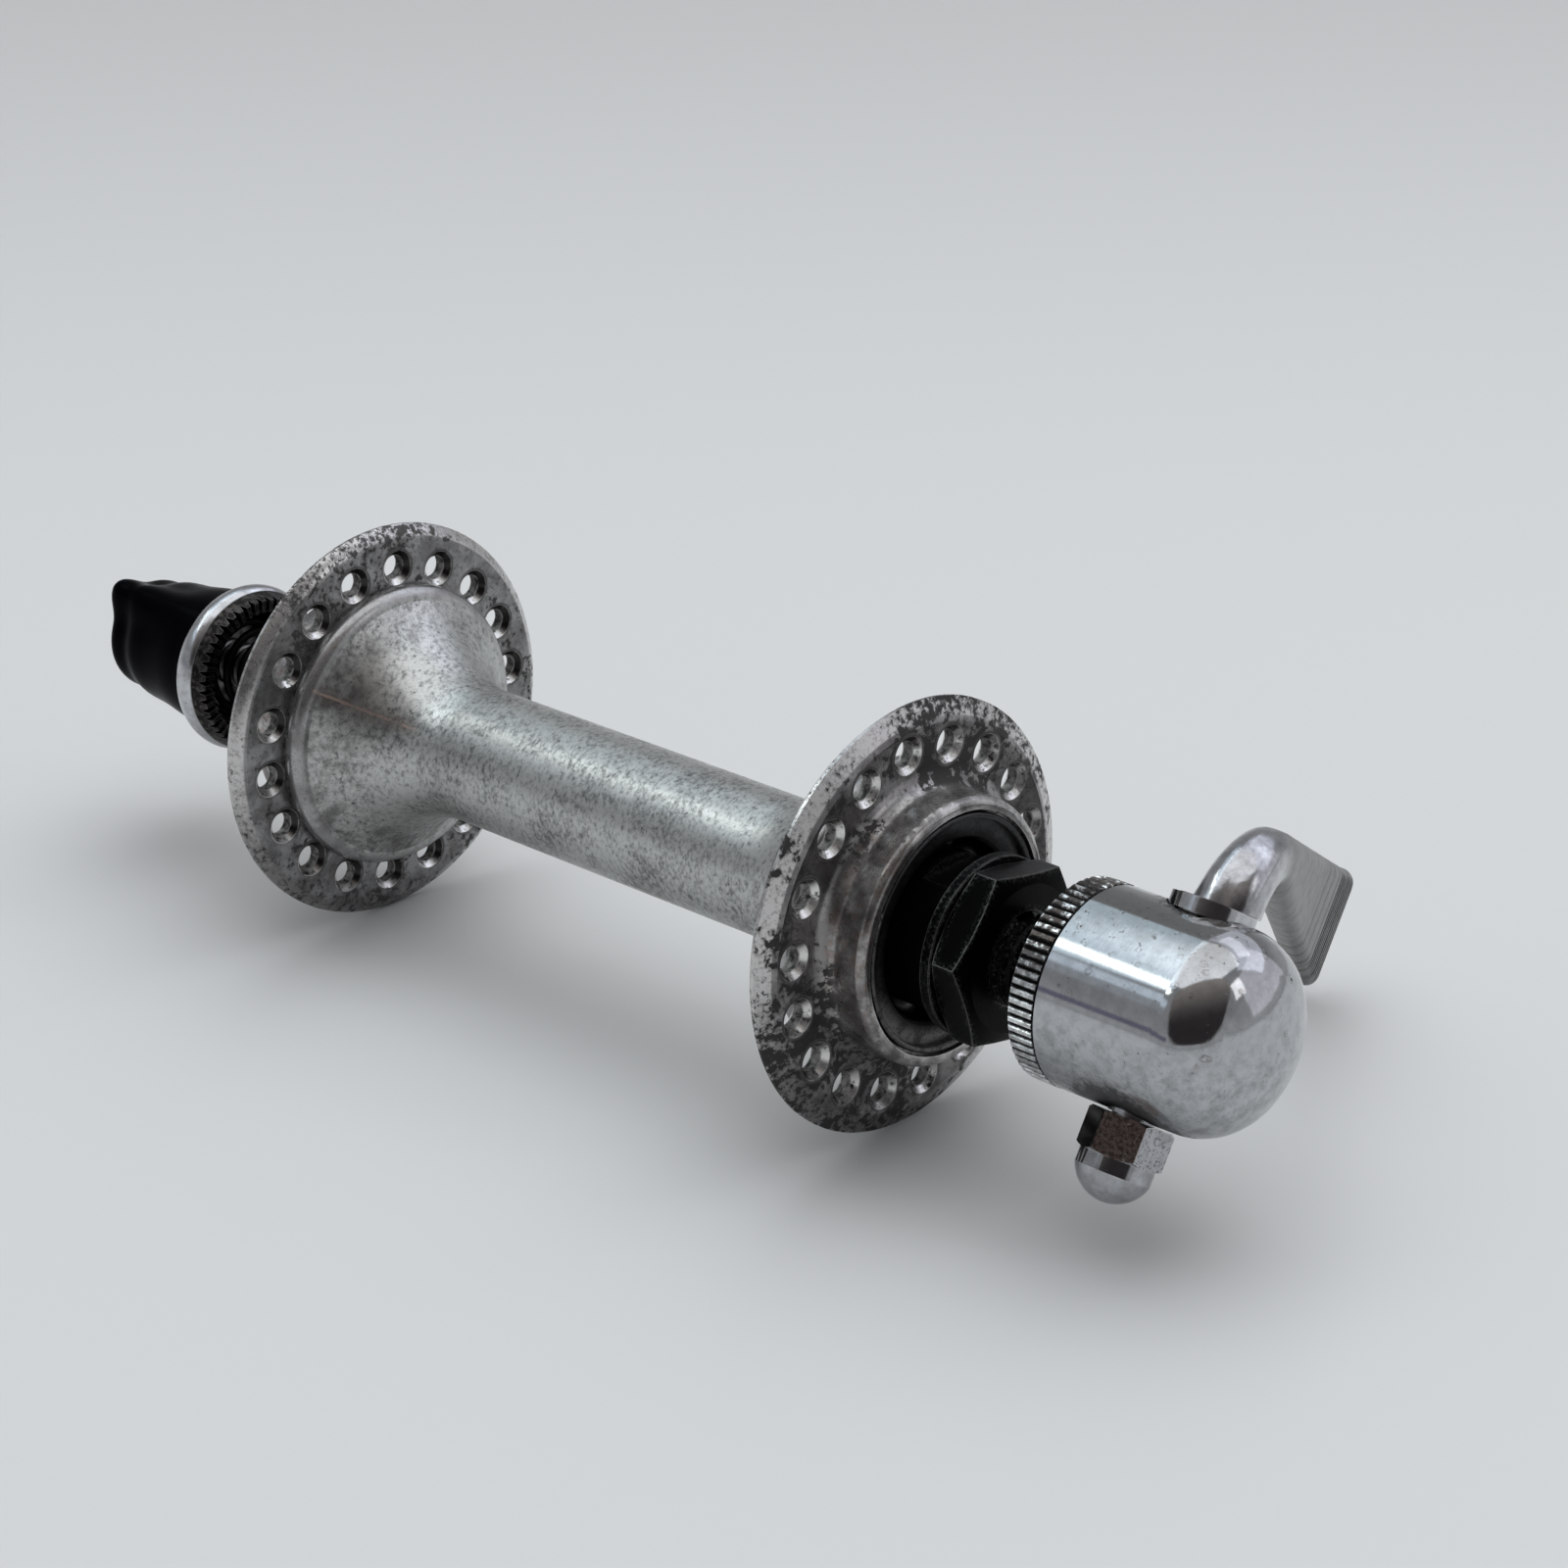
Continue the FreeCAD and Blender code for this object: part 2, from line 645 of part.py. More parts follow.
def make_cam_lever():
    """Lever with its cam shaft: journals, eccentric cam, threaded end, elbow, flat handle with finger ribs."""
    neck_along = lever_root_offset + elbow_reach
    neck_up = lever_root + elbow_rise
    tip_up = neck_up - lever_fall
    blade_end = lever_length - lever_tip_rounding
    sections = []
    for share in (0.0, 0.2, 0.4, 0.6, 0.8, 1.0):
        turn = math.radians(90 * share)
        lean = math.degrees(math.atan2(elbow_reach * math.sin(turn), elbow_rise * math.cos(turn)))
        sections.append(lever_section(lever_root_offset + elbow_reach * (1 - math.cos(turn)),
                                      lever_root + elbow_rise * math.sin(turn), lean,
                                      between(lever_root_outset, lever_arm_outset, share),
                                      between(lever_root_width, lever_neck_width, share),
                                      between(lever_root_width, lever_neck_thickness, share)))
    for step in range(lever_step_count):
        share = (step + 1) / lever_step_count
        neck_share = (1 - share) ** lever_thinning
        sections.append(lever_section(between(neck_along, blade_end, share), between(neck_up, tip_up, share),
                                      90, lever_arm_outset, between(lever_neck_width, lever_tip_width, share),
                                      between(lever_tip_thickness, lever_neck_thickness, neck_share)))
    for degrees in (45, 80):
        turn = math.radians(degrees)
        narrowing = 1 - math.cos(turn)
        sections.append(lever_section(lever_length - lever_tip_rounding * (1 - math.sin(turn)), tip_up, 90,
                                      lever_arm_outset, lever_tip_width - 2 * lever_tip_rounding * narrowing,
                                      lever_tip_thickness * (1 - narrowing / 2)))
    arm = Part.makeLoft(sections, True, False)
    rib_cutters = []
    for number in range(grip_rib_count):
        along = lever_length - grip_rib_from_tip - number * grip_rib_pitch
        start = lever_point(along, -lever_arm_outset - lever_tip_thickness / 2 - grip_rib_standoff,
                            tip_up - lever_tip_width)
        rib_cutters.append(cylinder(grip_rib_radius, start, cam_direction, 2 * lever_tip_width))
    arm = arm.cut(Part.makeCompound(rib_cutters))
    cam_top = cam_origin + cam_direction * cam_half_length
    cam_bottom = cam_origin - cam_direction * cam_half_length
    shaft_end = cam_origin - cam_direction * acorn_seat_height
    down = cam_direction * -1
    upper_length = lever_root - cam_half_length
    upper_journal = cylinder(upper_journal_radius, cam_top, cam_direction, upper_length)
    cam = cylinder(cam_radius, cam_bottom + Y_AXIS * cam_throw, cam_direction, 2 * cam_half_length)
    lower_journal = cylinder(lower_journal_radius, cam_bottom, down, acorn_seat_height - cam_half_length)
    threaded_end = cylinder(shaft_thread_radius, shaft_end, down, shaft_thread_length)
    return arm.fuse([upper_journal, cam, lower_journal, threaded_end]).removeSplitter()


def make_lever_washer():
    """Plain washer between lever and housing."""
    washer = cylinder(lever_washer_radius, cam_origin + cam_direction * washer_bottom, cam_direction,
                      lever_washer_thickness)
    bore_radius = upper_journal_radius + thread_clearance
    bore = cylinder(bore_radius, cam_origin, cam_direction, lever_root + cut_margin)
    return washer.cut(bore)


def make_acorn_nut():
    """Domed nut on the lower end of the cam shaft."""
    down = cam_direction * -1
    top = acorn_seat_height + washer_gap
    corner_radius = acorn_across_flats / math.sqrt(3)
    angle = math.radians(acorn_turn)
    corner = side_direction * math.cos(angle) + Y_AXIS * math.sin(angle)
    prism = hexagon(acorn_across_flats, cam_origin + down * top, down, corner, acorn_hex_height)
    sphere_radius = (acorn_collar_radius ** 2 + acorn_dome_height ** 2) / (2 * acorn_dome_height)
    collar_end = top + acorn_hex_height + acorn_collar_height
    rise = math.degrees(math.asin(acorn_collar_radius / sphere_radius)) / 2
    envelope = turned(
        (top, 0),
        (top, corner_radius - acorn_bevel),
        (top + acorn_bevel, corner_radius + edge_margin),
        (top + acorn_hex_height - acorn_bevel, corner_radius + edge_margin),
        (top + acorn_hex_height, corner_radius - 2 * acorn_bevel),
        (top + acorn_hex_height, 0),
    )
    dome = turned(
        (top + acorn_hex_height - acorn_dome_root, 0),
        (top + acorn_hex_height - acorn_dome_root, acorn_collar_radius),
        (collar_end, acorn_collar_radius),
        (point_at((collar_end + acorn_dome_height - sphere_radius, 0), sphere_radius, rise),
         (collar_end + acorn_dome_height, 0)),
    )
    turn_down = FreeCAD.Placement(cam_origin, FreeCAD.Rotation(Y_AXIS, down))
    envelope.transformShape(turn_down.toMatrix())
    dome.transformShape(turn_down.toMatrix())
    bore_depth = acorn_seat_height + shaft_thread_length + acorn_thread_spare
    bore = cylinder(shaft_thread_radius + thread_clearance, cam_origin, down, bore_depth)
    return prism.common(envelope).fuse(dome).cut(bore).removeSplitter()


def make_nut_side_ring():
    """Polished steel ring of the adjusting nut, with radial teeth that bite into the dropout. Drawn at +Y."""
    ring_end = grip_front
    spigot_start = clamp_face + clamp_ring_lip
    bevel_end = clamp_face + nut_ring_bevel
    middle = (bevel_end + ring_end) / 2
    ring = turned(
        (clamp_face, clamp_face_inner_radius),
        (clamp_face, nut_tooth_face_radius),
        (bevel_end, nut_ring_radius - nut_ring_crown),
        ((middle, nut_ring_radius), (ring_end, nut_ring_radius - nut_ring_crown)),
        (ring_end, spigot_radius),
        (spigot_start, spigot_radius),
        (spigot_start, clamp_face_inner_radius),
    )
    half_width = math.pi * nut_tooth_face_radius / nut_tooth_count * nut_tooth_gap_share
    spread = half_width * (1 + edge_margin / nut_tooth_depth)
    inner = clamp_face_inner_radius - cut_margin
    outer = nut_ring_radius + cut_margin
    mouth = clamp_face - edge_margin
    corners = [FreeCAD.Vector(inner, mouth, -spread), FreeCAD.Vector(inner, mouth, spread),
               FreeCAD.Vector(inner, clamp_face + nut_tooth_depth, 0)]
    corners.append(corners[0])
    notch = Part.Face(Part.makePolygon(corners)).extrude(FreeCAD.Vector(outer - inner, 0, 0))
    return ring.cut(Part.makeCompound(around_axle(notch, nut_tooth_count, 0)))


def grip_section(place, body_radius, wing_radius):
    """Closed outline of the grip across the axle: round, with two opposite wings."""
    points = []
    for number in range(grip_outline_points):
        angle = 2 * math.pi * number / grip_outline_points
        wing = abs(math.cos(angle)) ** grip_wing_sharpness
        radius = body_radius + (wing_radius - body_radius) * wing
        turned_angle = angle + math.radians(grip_wing_turn)
        points.append(FreeCAD.Vector(radius * math.cos(turned_angle), place, radius * math.sin(turned_angle)))
    curve = Part.BSplineCurve()
    curve.interpolate(points, PeriodicFlag=True)
    return Part.Wire([curve.toShape()])


def make_nut_grip():
    """Moulded grip of the adjusting nut: round at the ring, then narrower with two wings. Drawn at +Y."""
    spigot_start = clamp_face + clamp_ring_lip
    straight = grip_length - grip_end_rounding
    sections = []
    for share in (0.0, 0.2, 0.4, 0.6, 0.8, 1.0):
        sections.append(grip_section(grip_front + straight * share,
                                     between(grip_root_radius, grip_end_radius, share),
                                     between(grip_root_radius, grip_wing_radius, share)))
    for degrees in (30, 60, 90):
        turn = math.radians(degrees)
        inset = grip_end_rounding * (1 - math.cos(turn))
        sections.append(grip_section(grip_end - grip_end_rounding * (1 - math.sin(turn)),
                                     grip_end_radius - inset, grip_wing_radius - inset))
    body = Part.makeLoft(sections, True, False)
    spigot = turned(
        (spigot_start, clamp_face_inner_radius),
        (spigot_start, spigot_radius),
        (grip_front, spigot_radius),
        (grip_front, clamp_face_inner_radius),
    )
    recess = along_y(clamp_face_inner_radius, grip_front - cut_margin, spring_floor + insert_flange_thickness)
    insert_hole = along_y(insert_radius, spring_floor, spring_floor + insert_length)
    rod_hole = along_y(rod_radius + rod_thread_clearance, spring_floor, rod_end + cut_margin)
    return body.fuse(spigot).cut(recess).cut(insert_hole).cut(rod_hole).removeSplitter()


def make_nut_insert():
    """Threaded steel insert of the adjusting nut. The spring rests on its flange. Drawn at +Y."""
    bore = rod_radius + rod_thread_clearance
    flange_end = spring_floor + insert_flange_thickness
    return turned(
        (spring_floor, bore),
        (spring_floor, clamp_face_inner_radius),
        (flange_end, clamp_face_inner_radius),
        (flange_end, insert_radius),
        (spring_floor + insert_length, insert_radius),
        (spring_floor + insert_length, bore),
    )


def spring_point(turns):
    """Point and tangent of the volute spring's centre line after so many turns."""
    start = axle_end + spring_wire_radius + spring_seat_gap
    end = spring_floor - spring_wire_radius - spring_seat_gap
    share = turns / spring_turns
    angle = 2 * math.pi * turns
    radius = spring_small_radius + (spring_large_radius - spring_small_radius) * share
    per_radian = 1 / (2 * math.pi * spring_turns)
    growth = (spring_large_radius - spring_small_radius) * per_radian
    rise = (end - start) * per_radian
    point = FreeCAD.Vector(radius * math.cos(angle), start + (end - start) * share, radius * math.sin(angle))
    tangent = FreeCAD.Vector(growth * math.cos(angle) - radius * math.sin(angle), rise,
                             growth * math.sin(angle) + radius * math.cos(angle))
    return point, tangent.normalize()


def tangent_arc(start, corner, end):
    """Arc that leaves start towards corner and reaches end from it."""
    middle = (start + end) * 0.5
    half_chord = (end - start).Length / 2
    rise = corner - middle
    bulge = half_chord * math.tan(math.atan2(rise.Length, half_chord) / 2)
    return Part.Arc(start, middle + rise.normalize() * bulge, end).toShape()


def biarc(start, start_tangent, end, end_tangent):
    """Two tangent arcs from one point and direction to another."""
    chord = end - start
    both = start_tangent + end_tangent
    bend = 2 * (1 - start_tangent.dot(end_tangent))
    along = chord.dot(both)
    reach = (-along + math.sqrt(along ** 2 + bend * chord.dot(chord))) / bend
    first_corner = start + start_tangent * reach
    second_corner = end - end_tangent * reach
    joint = (first_corner + second_corner) * 0.5
    return [tangent_arc(start, first_corner, joint), tangent_arc(joint, second_corner, end)]


def make_volute_spring():
    """Conical spring between the axle's end and the floor of the recess. Drawn at +Y."""
    quarter = 0.25
    steps = int(spring_turns / quarter)
    wire_width = 2 * spring_wire_radius
    first_point, first_tangent = spring_point(0)
    edges = [Part.makeLine(first_point - first_tangent * wire_width, first_point)]
    for number in range(steps):
        here = spring_point(number * quarter)
        there = spring_point((number + 1) * quarter)
        edges += biarc(here[0], here[1], there[0], there[1])
    last_point, last_tangent = spring_point(steps * quarter)
    edges.append(Part.makeLine(last_point, last_point + last_tangent * wire_width))
    path = Part.Wire(edges)
    start = first_point - first_tangent * wire_width
    circle = Part.Wire([Part.makeCircle(spring_wire_radius, start, first_tangent)])
    spring = path.makePipeShell([circle], True, False)
    print("spring least gap to itself", round(spring_gap(), 3), "mm")
    print("spring volume", round(spring.Volume, 3), "from length",
          round(path.Length * math.pi * spring_wire_radius ** 2, 3))
    return spring


def spring_gap():
    """Least clear distance between turns of the spring, on points of its centre line."""
    samples = 240
    points = [spring_point(spring_turns * number / samples)[0] for number in range(samples + 1)]
    per_turn = int(samples / spring_turns)
    least = spring_large_radius
    for number, point in enumerate(points):
        for other in points[number + per_turn // 2:]:
            least = min(least, (point - other).Length - 2 * spring_wire_radius)
    return least


def export(name, shape):
    shape.exportStep("parts/" + name + ".step")
    print(name, "solids", len(shape.Solids), "valid", shape.isValid(), "volume", round(shape.Volume, 1))


os.makedirs("parts", exist_ok=True)
export("axle", make_axle())
export("hub_shell", make_hub_shell())
for piece, maker in (("cone", make_cone), ("lock_washer", make_lock_washer), ("lock_nut", make_lock_nut),
                     ("bearing_cup", make_bearing_cup), ("dust_cap", make_dust_cap),
                     ("bearing_balls", make_balls), ("volute_spring", make_volute_spring)):
    made = maker()
    export(piece + "_lever_side", made)
    export(piece + "_nut_side", on_nut_side(made))
export("cam_housing", make_cam_housing())
export("clamp_ring_lever_side", make_lever_side_ring())
export("skewer_rod", make_skewer_rod())
export("cam_lever", make_cam_lever())
export("lever_washer", make_lever_washer())
export("acorn_nut", make_acorn_nut())
export("clamp_ring_nut_side", on_nut_side(make_nut_side_ring()))
export("nut_grip", on_nut_side(make_nut_grip()))
export("nut_insert", on_nut_side(make_nut_insert()))
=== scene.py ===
"""Looks of a worn bicycle front hub with its quick release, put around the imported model.

All places are in metres in the row frame: the wheel axis is Y, the lever end is at +Y and Z is up.
"""
import math

import bpy
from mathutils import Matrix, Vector


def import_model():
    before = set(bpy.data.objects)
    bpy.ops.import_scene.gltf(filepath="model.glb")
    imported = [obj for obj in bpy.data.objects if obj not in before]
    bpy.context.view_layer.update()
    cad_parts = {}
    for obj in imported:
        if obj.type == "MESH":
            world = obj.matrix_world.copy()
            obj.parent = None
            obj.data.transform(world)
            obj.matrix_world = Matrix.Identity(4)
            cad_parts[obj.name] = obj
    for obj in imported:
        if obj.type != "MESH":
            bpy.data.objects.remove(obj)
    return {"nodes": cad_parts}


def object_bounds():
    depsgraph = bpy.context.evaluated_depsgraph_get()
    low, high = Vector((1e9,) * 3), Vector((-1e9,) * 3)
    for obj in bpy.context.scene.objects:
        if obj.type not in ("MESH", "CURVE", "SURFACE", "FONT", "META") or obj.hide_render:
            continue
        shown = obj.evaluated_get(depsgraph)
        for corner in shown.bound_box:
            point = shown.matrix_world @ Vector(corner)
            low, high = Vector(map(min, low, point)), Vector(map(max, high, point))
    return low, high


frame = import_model()
cad_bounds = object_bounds()
nodes = frame["nodes"]
MM = 0.001

# Sizes that the materials share with the part, in millimetres
hole_circle = 16.75
hole_count = 18
hole_turn = math.radians(5.0)
blade_way = (-0.797, -0.350, -0.490)
ribs_start = 7.0
ribs_end = 25.5
groove_pitch = 3.4
cam_place = 67.0
cam_tilt = math.radians(32.0)
lever_foot = (-4.8, cam_place, 7.7)
nut_foot = (5.1, cam_place, -8.2)
nut_tip = (13.6, 66.4, -18.2)
nut_half_width = 3.5
nut_turn = 8.7
hexagon_end = 13.5
housing_end = 55.2
toothed_end = 57.7
knurl_radius = 9.34

# Soft borders on the shell, in millimetres along the axle or from it: where a mask starts, where it is full
flare_along = (26.5, 31.0)
flare_radius = (8.5, 11.5)
bead_start = (32.7, 33.0)
bead_end = (35.2, 35.0)
bead_radius = (13.5, 13.9)
inner_face_along = (34.8, 35.1)
flange_radius = (13.4, 14.6)
outer_face_along = (36.4, 36.9)
outer_face_radius = (12.6, 13.4)
boss_along = (37.5, 38.4)
boss_radius = (15.4, 14.2)
rim_radius = (19.85, 20.1)
bevel_radius = (19.35, 19.55)
bevel_start = (36.2, 36.4)
bevel_end = (37.39, 37.34)
reflection_line_start = (-33.3, -32.9)
reflection_line_end = (-23.6, -25.2)

# Soft borders round each spoke hole, in millimetres from its middle
round_hole = (2.25, 1.98)
black_ring = (1.80, 1.90)
countersink = (1.92, 1.84)
hole_wall = (1.36, 1.22)

# Sides of the shell that are dirty, worn or darker, where the painted warm reflection runs, and where the
# dust cap is painted lighter, as an angle from +X towards +Z in degrees
smudged_side = -25.0
brown_side = 15.0
darker_rim_side = -62.0
lever_dirt_above = 116.0
lever_dirt_below = -48.0
nut_dirt_above = 72.0
nut_dirt_below = -70.0
reflection_line_side = 31.5
cap_lit_side = -60.0

# The floor lies this far under the part, in metres
floor_gap = 0.00002

# The camera: focal length and width of the picture in pixels, place in metres, angles from +X and up
focal_length = 3746.9
picture_width = 1600
sensor_width = 36.0
camera_place = (0.23454, 0.23799, 0.14223)
camera_yaw = math.radians(-137.189)
camera_pitch = math.radians(-22.657)


# Small helpers that add shader nodes

class Surface:
    """A node material with one Principled shader and short calls that add nodes to it."""

    def __init__(self, name, **fixed):
        self.material = bpy.data.materials.new(name)
        self.material.use_nodes = True
        self.tree = self.material.node_tree
        self.shader = self.tree.nodes["Principled BSDF"]
        self.place = self.add("ShaderNodeTexCoord").outputs["Object"]
        for socket, value in fixed.items():
            self.shader.inputs[socket.replace("_", " ")].default_value = value

    def add(self, kind, **settings):
        node = self.tree.nodes.new(kind)
        for key, value in settings.items():
            setattr(node, key, value)
        return node

    def put(self, socket, value):
        """Links an output to a socket, or writes a plain value into it."""
        if isinstance(value, bpy.types.NodeSocket):
            self.tree.links.new(value, socket)
        else:
            socket.default_value = value

    def maths(self, operation, first, second=0.0, third=0.0):
        node = self.add("ShaderNodeMath", operation=operation)
        for socket, value in zip(node.inputs, (first, second, third)):
            self.put(socket, value)
        return node.outputs[0]

    def times(self, first, *others):
        for other in others:
            first = self.maths("MULTIPLY", first, other)
        return first

    def plus(self, first, second):
        return self.maths("ADD", first, second)

    def most(self, first, *others):
        for other in others:
            first = self.maths("MAXIMUM", first, other)
        return first

    def without(self, first, second):
        """The first mask where the second isn't."""
        return self.times(first, self.maths("SUBTRACT", 1.0, second))

    def step(self, value, start, end, low=0.0, high=1.0):
        """A smooth step from low at start to high at end; start may be above end."""
        node = self.add("ShaderNodeMapRange", interpolation_type="SMOOTHSTEP")
        for name, given in (("Value", value), ("From Min", start), ("From Max", end), ("To Min", low),
                            ("To Max", high)):
            self.put(node.inputs[name], given)
        return node.outputs[0]

    def stretched(self, x, y, z, place=None):
        """The place with each axis divided by a grain length in millimetres."""
        node = self.add("ShaderNodeVectorMath", operation="MULTIPLY")
        self.put(node.inputs[0], place or self.place)
        node.inputs[1].default_value = (1 / (x * MM), 1 / (y * MM), 1 / (z * MM))
        return node.outputs[0]

    def times_vector(self, vector, factors):
        node = self.add("ShaderNodeVectorMath", operation="MULTIPLY")
        self.put(node.inputs[0], vector)
        node.inputs[1].default_value = factors
        return node.outputs[0]

    def noise(self, size, detail, rough, seed, place=None):
        """Cloudy noise whose blobs are about size millimetres wide, from 0 to 1."""
        node = self.add("ShaderNodeTexNoise", noise_dimensions="4D")
        self.put(node.inputs["Vector"], place or self.stretched(size, size, size))
        node.inputs["W"].default_value = seed
        node.inputs["Scale"].default_value = 1.0
        node.inputs["Detail"].default_value = detail
        node.inputs["Roughness"].default_value = rough
        return node.outputs["Fac"]

    def cells(self, size, seed):
        """Distance to the nearest of scattered points that lie about size millimetres apart."""
        node = self.add("ShaderNodeTexVoronoi", voronoi_dimensions="4D")
        self.put(node.inputs["Vector"], self.stretched(size, size, size))
        node.inputs["W"].default_value = seed
        node.inputs["Scale"].default_value = 1.0
        return node.outputs["Distance"]

    def colour(self, share, first, second):
        node = self.add("ShaderNodeMix", data_type="RGBA")
        self.put(node.inputs["Factor"], share)
        for name, value in (("A", first), ("B", second)):
            socket = [s for s in node.inputs if s.name == name and s.type == "RGBA"][0]
            self.put(socket, value if isinstance(value, bpy.types.NodeSocket) else (*value, 1.0))
        return [s for s in node.outputs if s.type == "RGBA"][0]

    def number(self, share, first, second):
        node = self.add("ShaderNodeMix", data_type="FLOAT")
        self.put(node.inputs["Factor"], share)
        self.put(node.inputs["A"], first)
        self.put(node.inputs["B"], second)
        return node.outputs["Result"]

    def axes(self):
        """The three coordinates in millimetres."""
        scaled = self.stretched(1, 1, 1)
        node = self.add("ShaderNodeSeparateXYZ")
        self.put(node.inputs[0], scaled)
        return node.outputs

    def radius(self):
        """The distance from the wheel axis in millimetres."""
        x, _, z = self.axes()
        return self.maths("SQRT", self.plus(self.times(x, x), self.times(z, z)))

    def near(self, spot):
        """The distance from a spot, all in millimetres."""
        node = self.add("ShaderNodeVectorMath", operation="DISTANCE")
        self.put(node.inputs[0], self.stretched(1, 1, 1))
        node.inputs[1].default_value = spot
        return node.outputs["Value"]

    def facing(self, degrees):
        """1 on the side of the wheel axis that lies at an angle from +X towards +Z, -1 opposite."""
        x, _, z = self.axes()
        a = math.radians(degrees)
        side = self.plus(self.times(x, math.cos(a)), self.times(z, math.sin(a)))
        return self.maths("DIVIDE", side, self.maths("MAXIMUM", self.radius(), 0.01))

    def cavity(self, reach, alone=True, samples=8):
        """1 in creases and holes no wider than about reach millimetres, 0 on open faces."""
        node = self.add("ShaderNodeAmbientOcclusion", samples=samples, only_local=alone)
        node.inputs["Distance"].default_value = reach * MM
        return self.maths("SUBTRACT", 1.0, node.outputs["AO"])

    def edges(self, width):
        """1 along sharp edges, 0 on faces: there a rounded normal leaves the true one."""
        bevel = self.add("ShaderNodeBevel", samples=8)
        bevel.inputs["Radius"].default_value = width * MM
        geometry = self.add("ShaderNodeNewGeometry")
        dot = self.add("ShaderNodeVectorMath", operation="DOT_PRODUCT")
        self.put(dot.inputs[0], bevel.outputs["Normal"])
        self.put(dot.inputs[1], geometry.outputs["True Normal"])
        return self.step(dot.outputs["Value"], 0.992, 0.90)

    def bump(self, height, depth, strength=1.0):
        """Relief from a 0 to 1 height that is depth millimetres deep."""
        node = self.add("ShaderNodeBump")
        node.inputs["Strength"].default_value = strength
        node.inputs["Distance"].default_value = depth * MM
        self.put(node.inputs["Height"], height)
        self.put(self.shader.inputs["Normal"], node.outputs["Normal"])

    def finish(self, colour, roughness, metallic=None):
        self.put(self.shader.inputs["Base Color"], colour)
        self.put(self.shader.inputs["Roughness"], roughness)
        if metallic is not None:
            self.put(self.shader.inputs["Metallic"], metallic)
        return self.material


# Materials of the shell and the bearing pieces

def spoke_hole(s, x, y, z, lever_half):
    """The distance from the nearest spoke hole's middle in millimetres, and 1 on its lit side."""
    turn = s.times(s.maths("SIGN", y), hole_turn)
    pitch = 2 * math.pi / hole_count
    steps = s.maths("ROUND", s.maths("DIVIDE", s.maths("SUBTRACT", s.maths("ARCTAN2", z, x), turn), pitch))
    angle = s.plus(s.times(steps, pitch), turn)
    across = s.maths("SUBTRACT", x, s.times(s.maths("COSINE", angle), hole_circle))
    up = s.maths("SUBTRACT", z, s.times(s.maths("SINE", angle), hole_circle))
    distance = s.maths("SQRT", s.plus(s.times(across, across), s.times(up, up)))
    towards_light = s.plus(s.times(across, s.number(lever_half, 0.7, -0.75)), s.times(up, -0.65))
    return distance, s.step(towards_light, -0.3, 0.9)


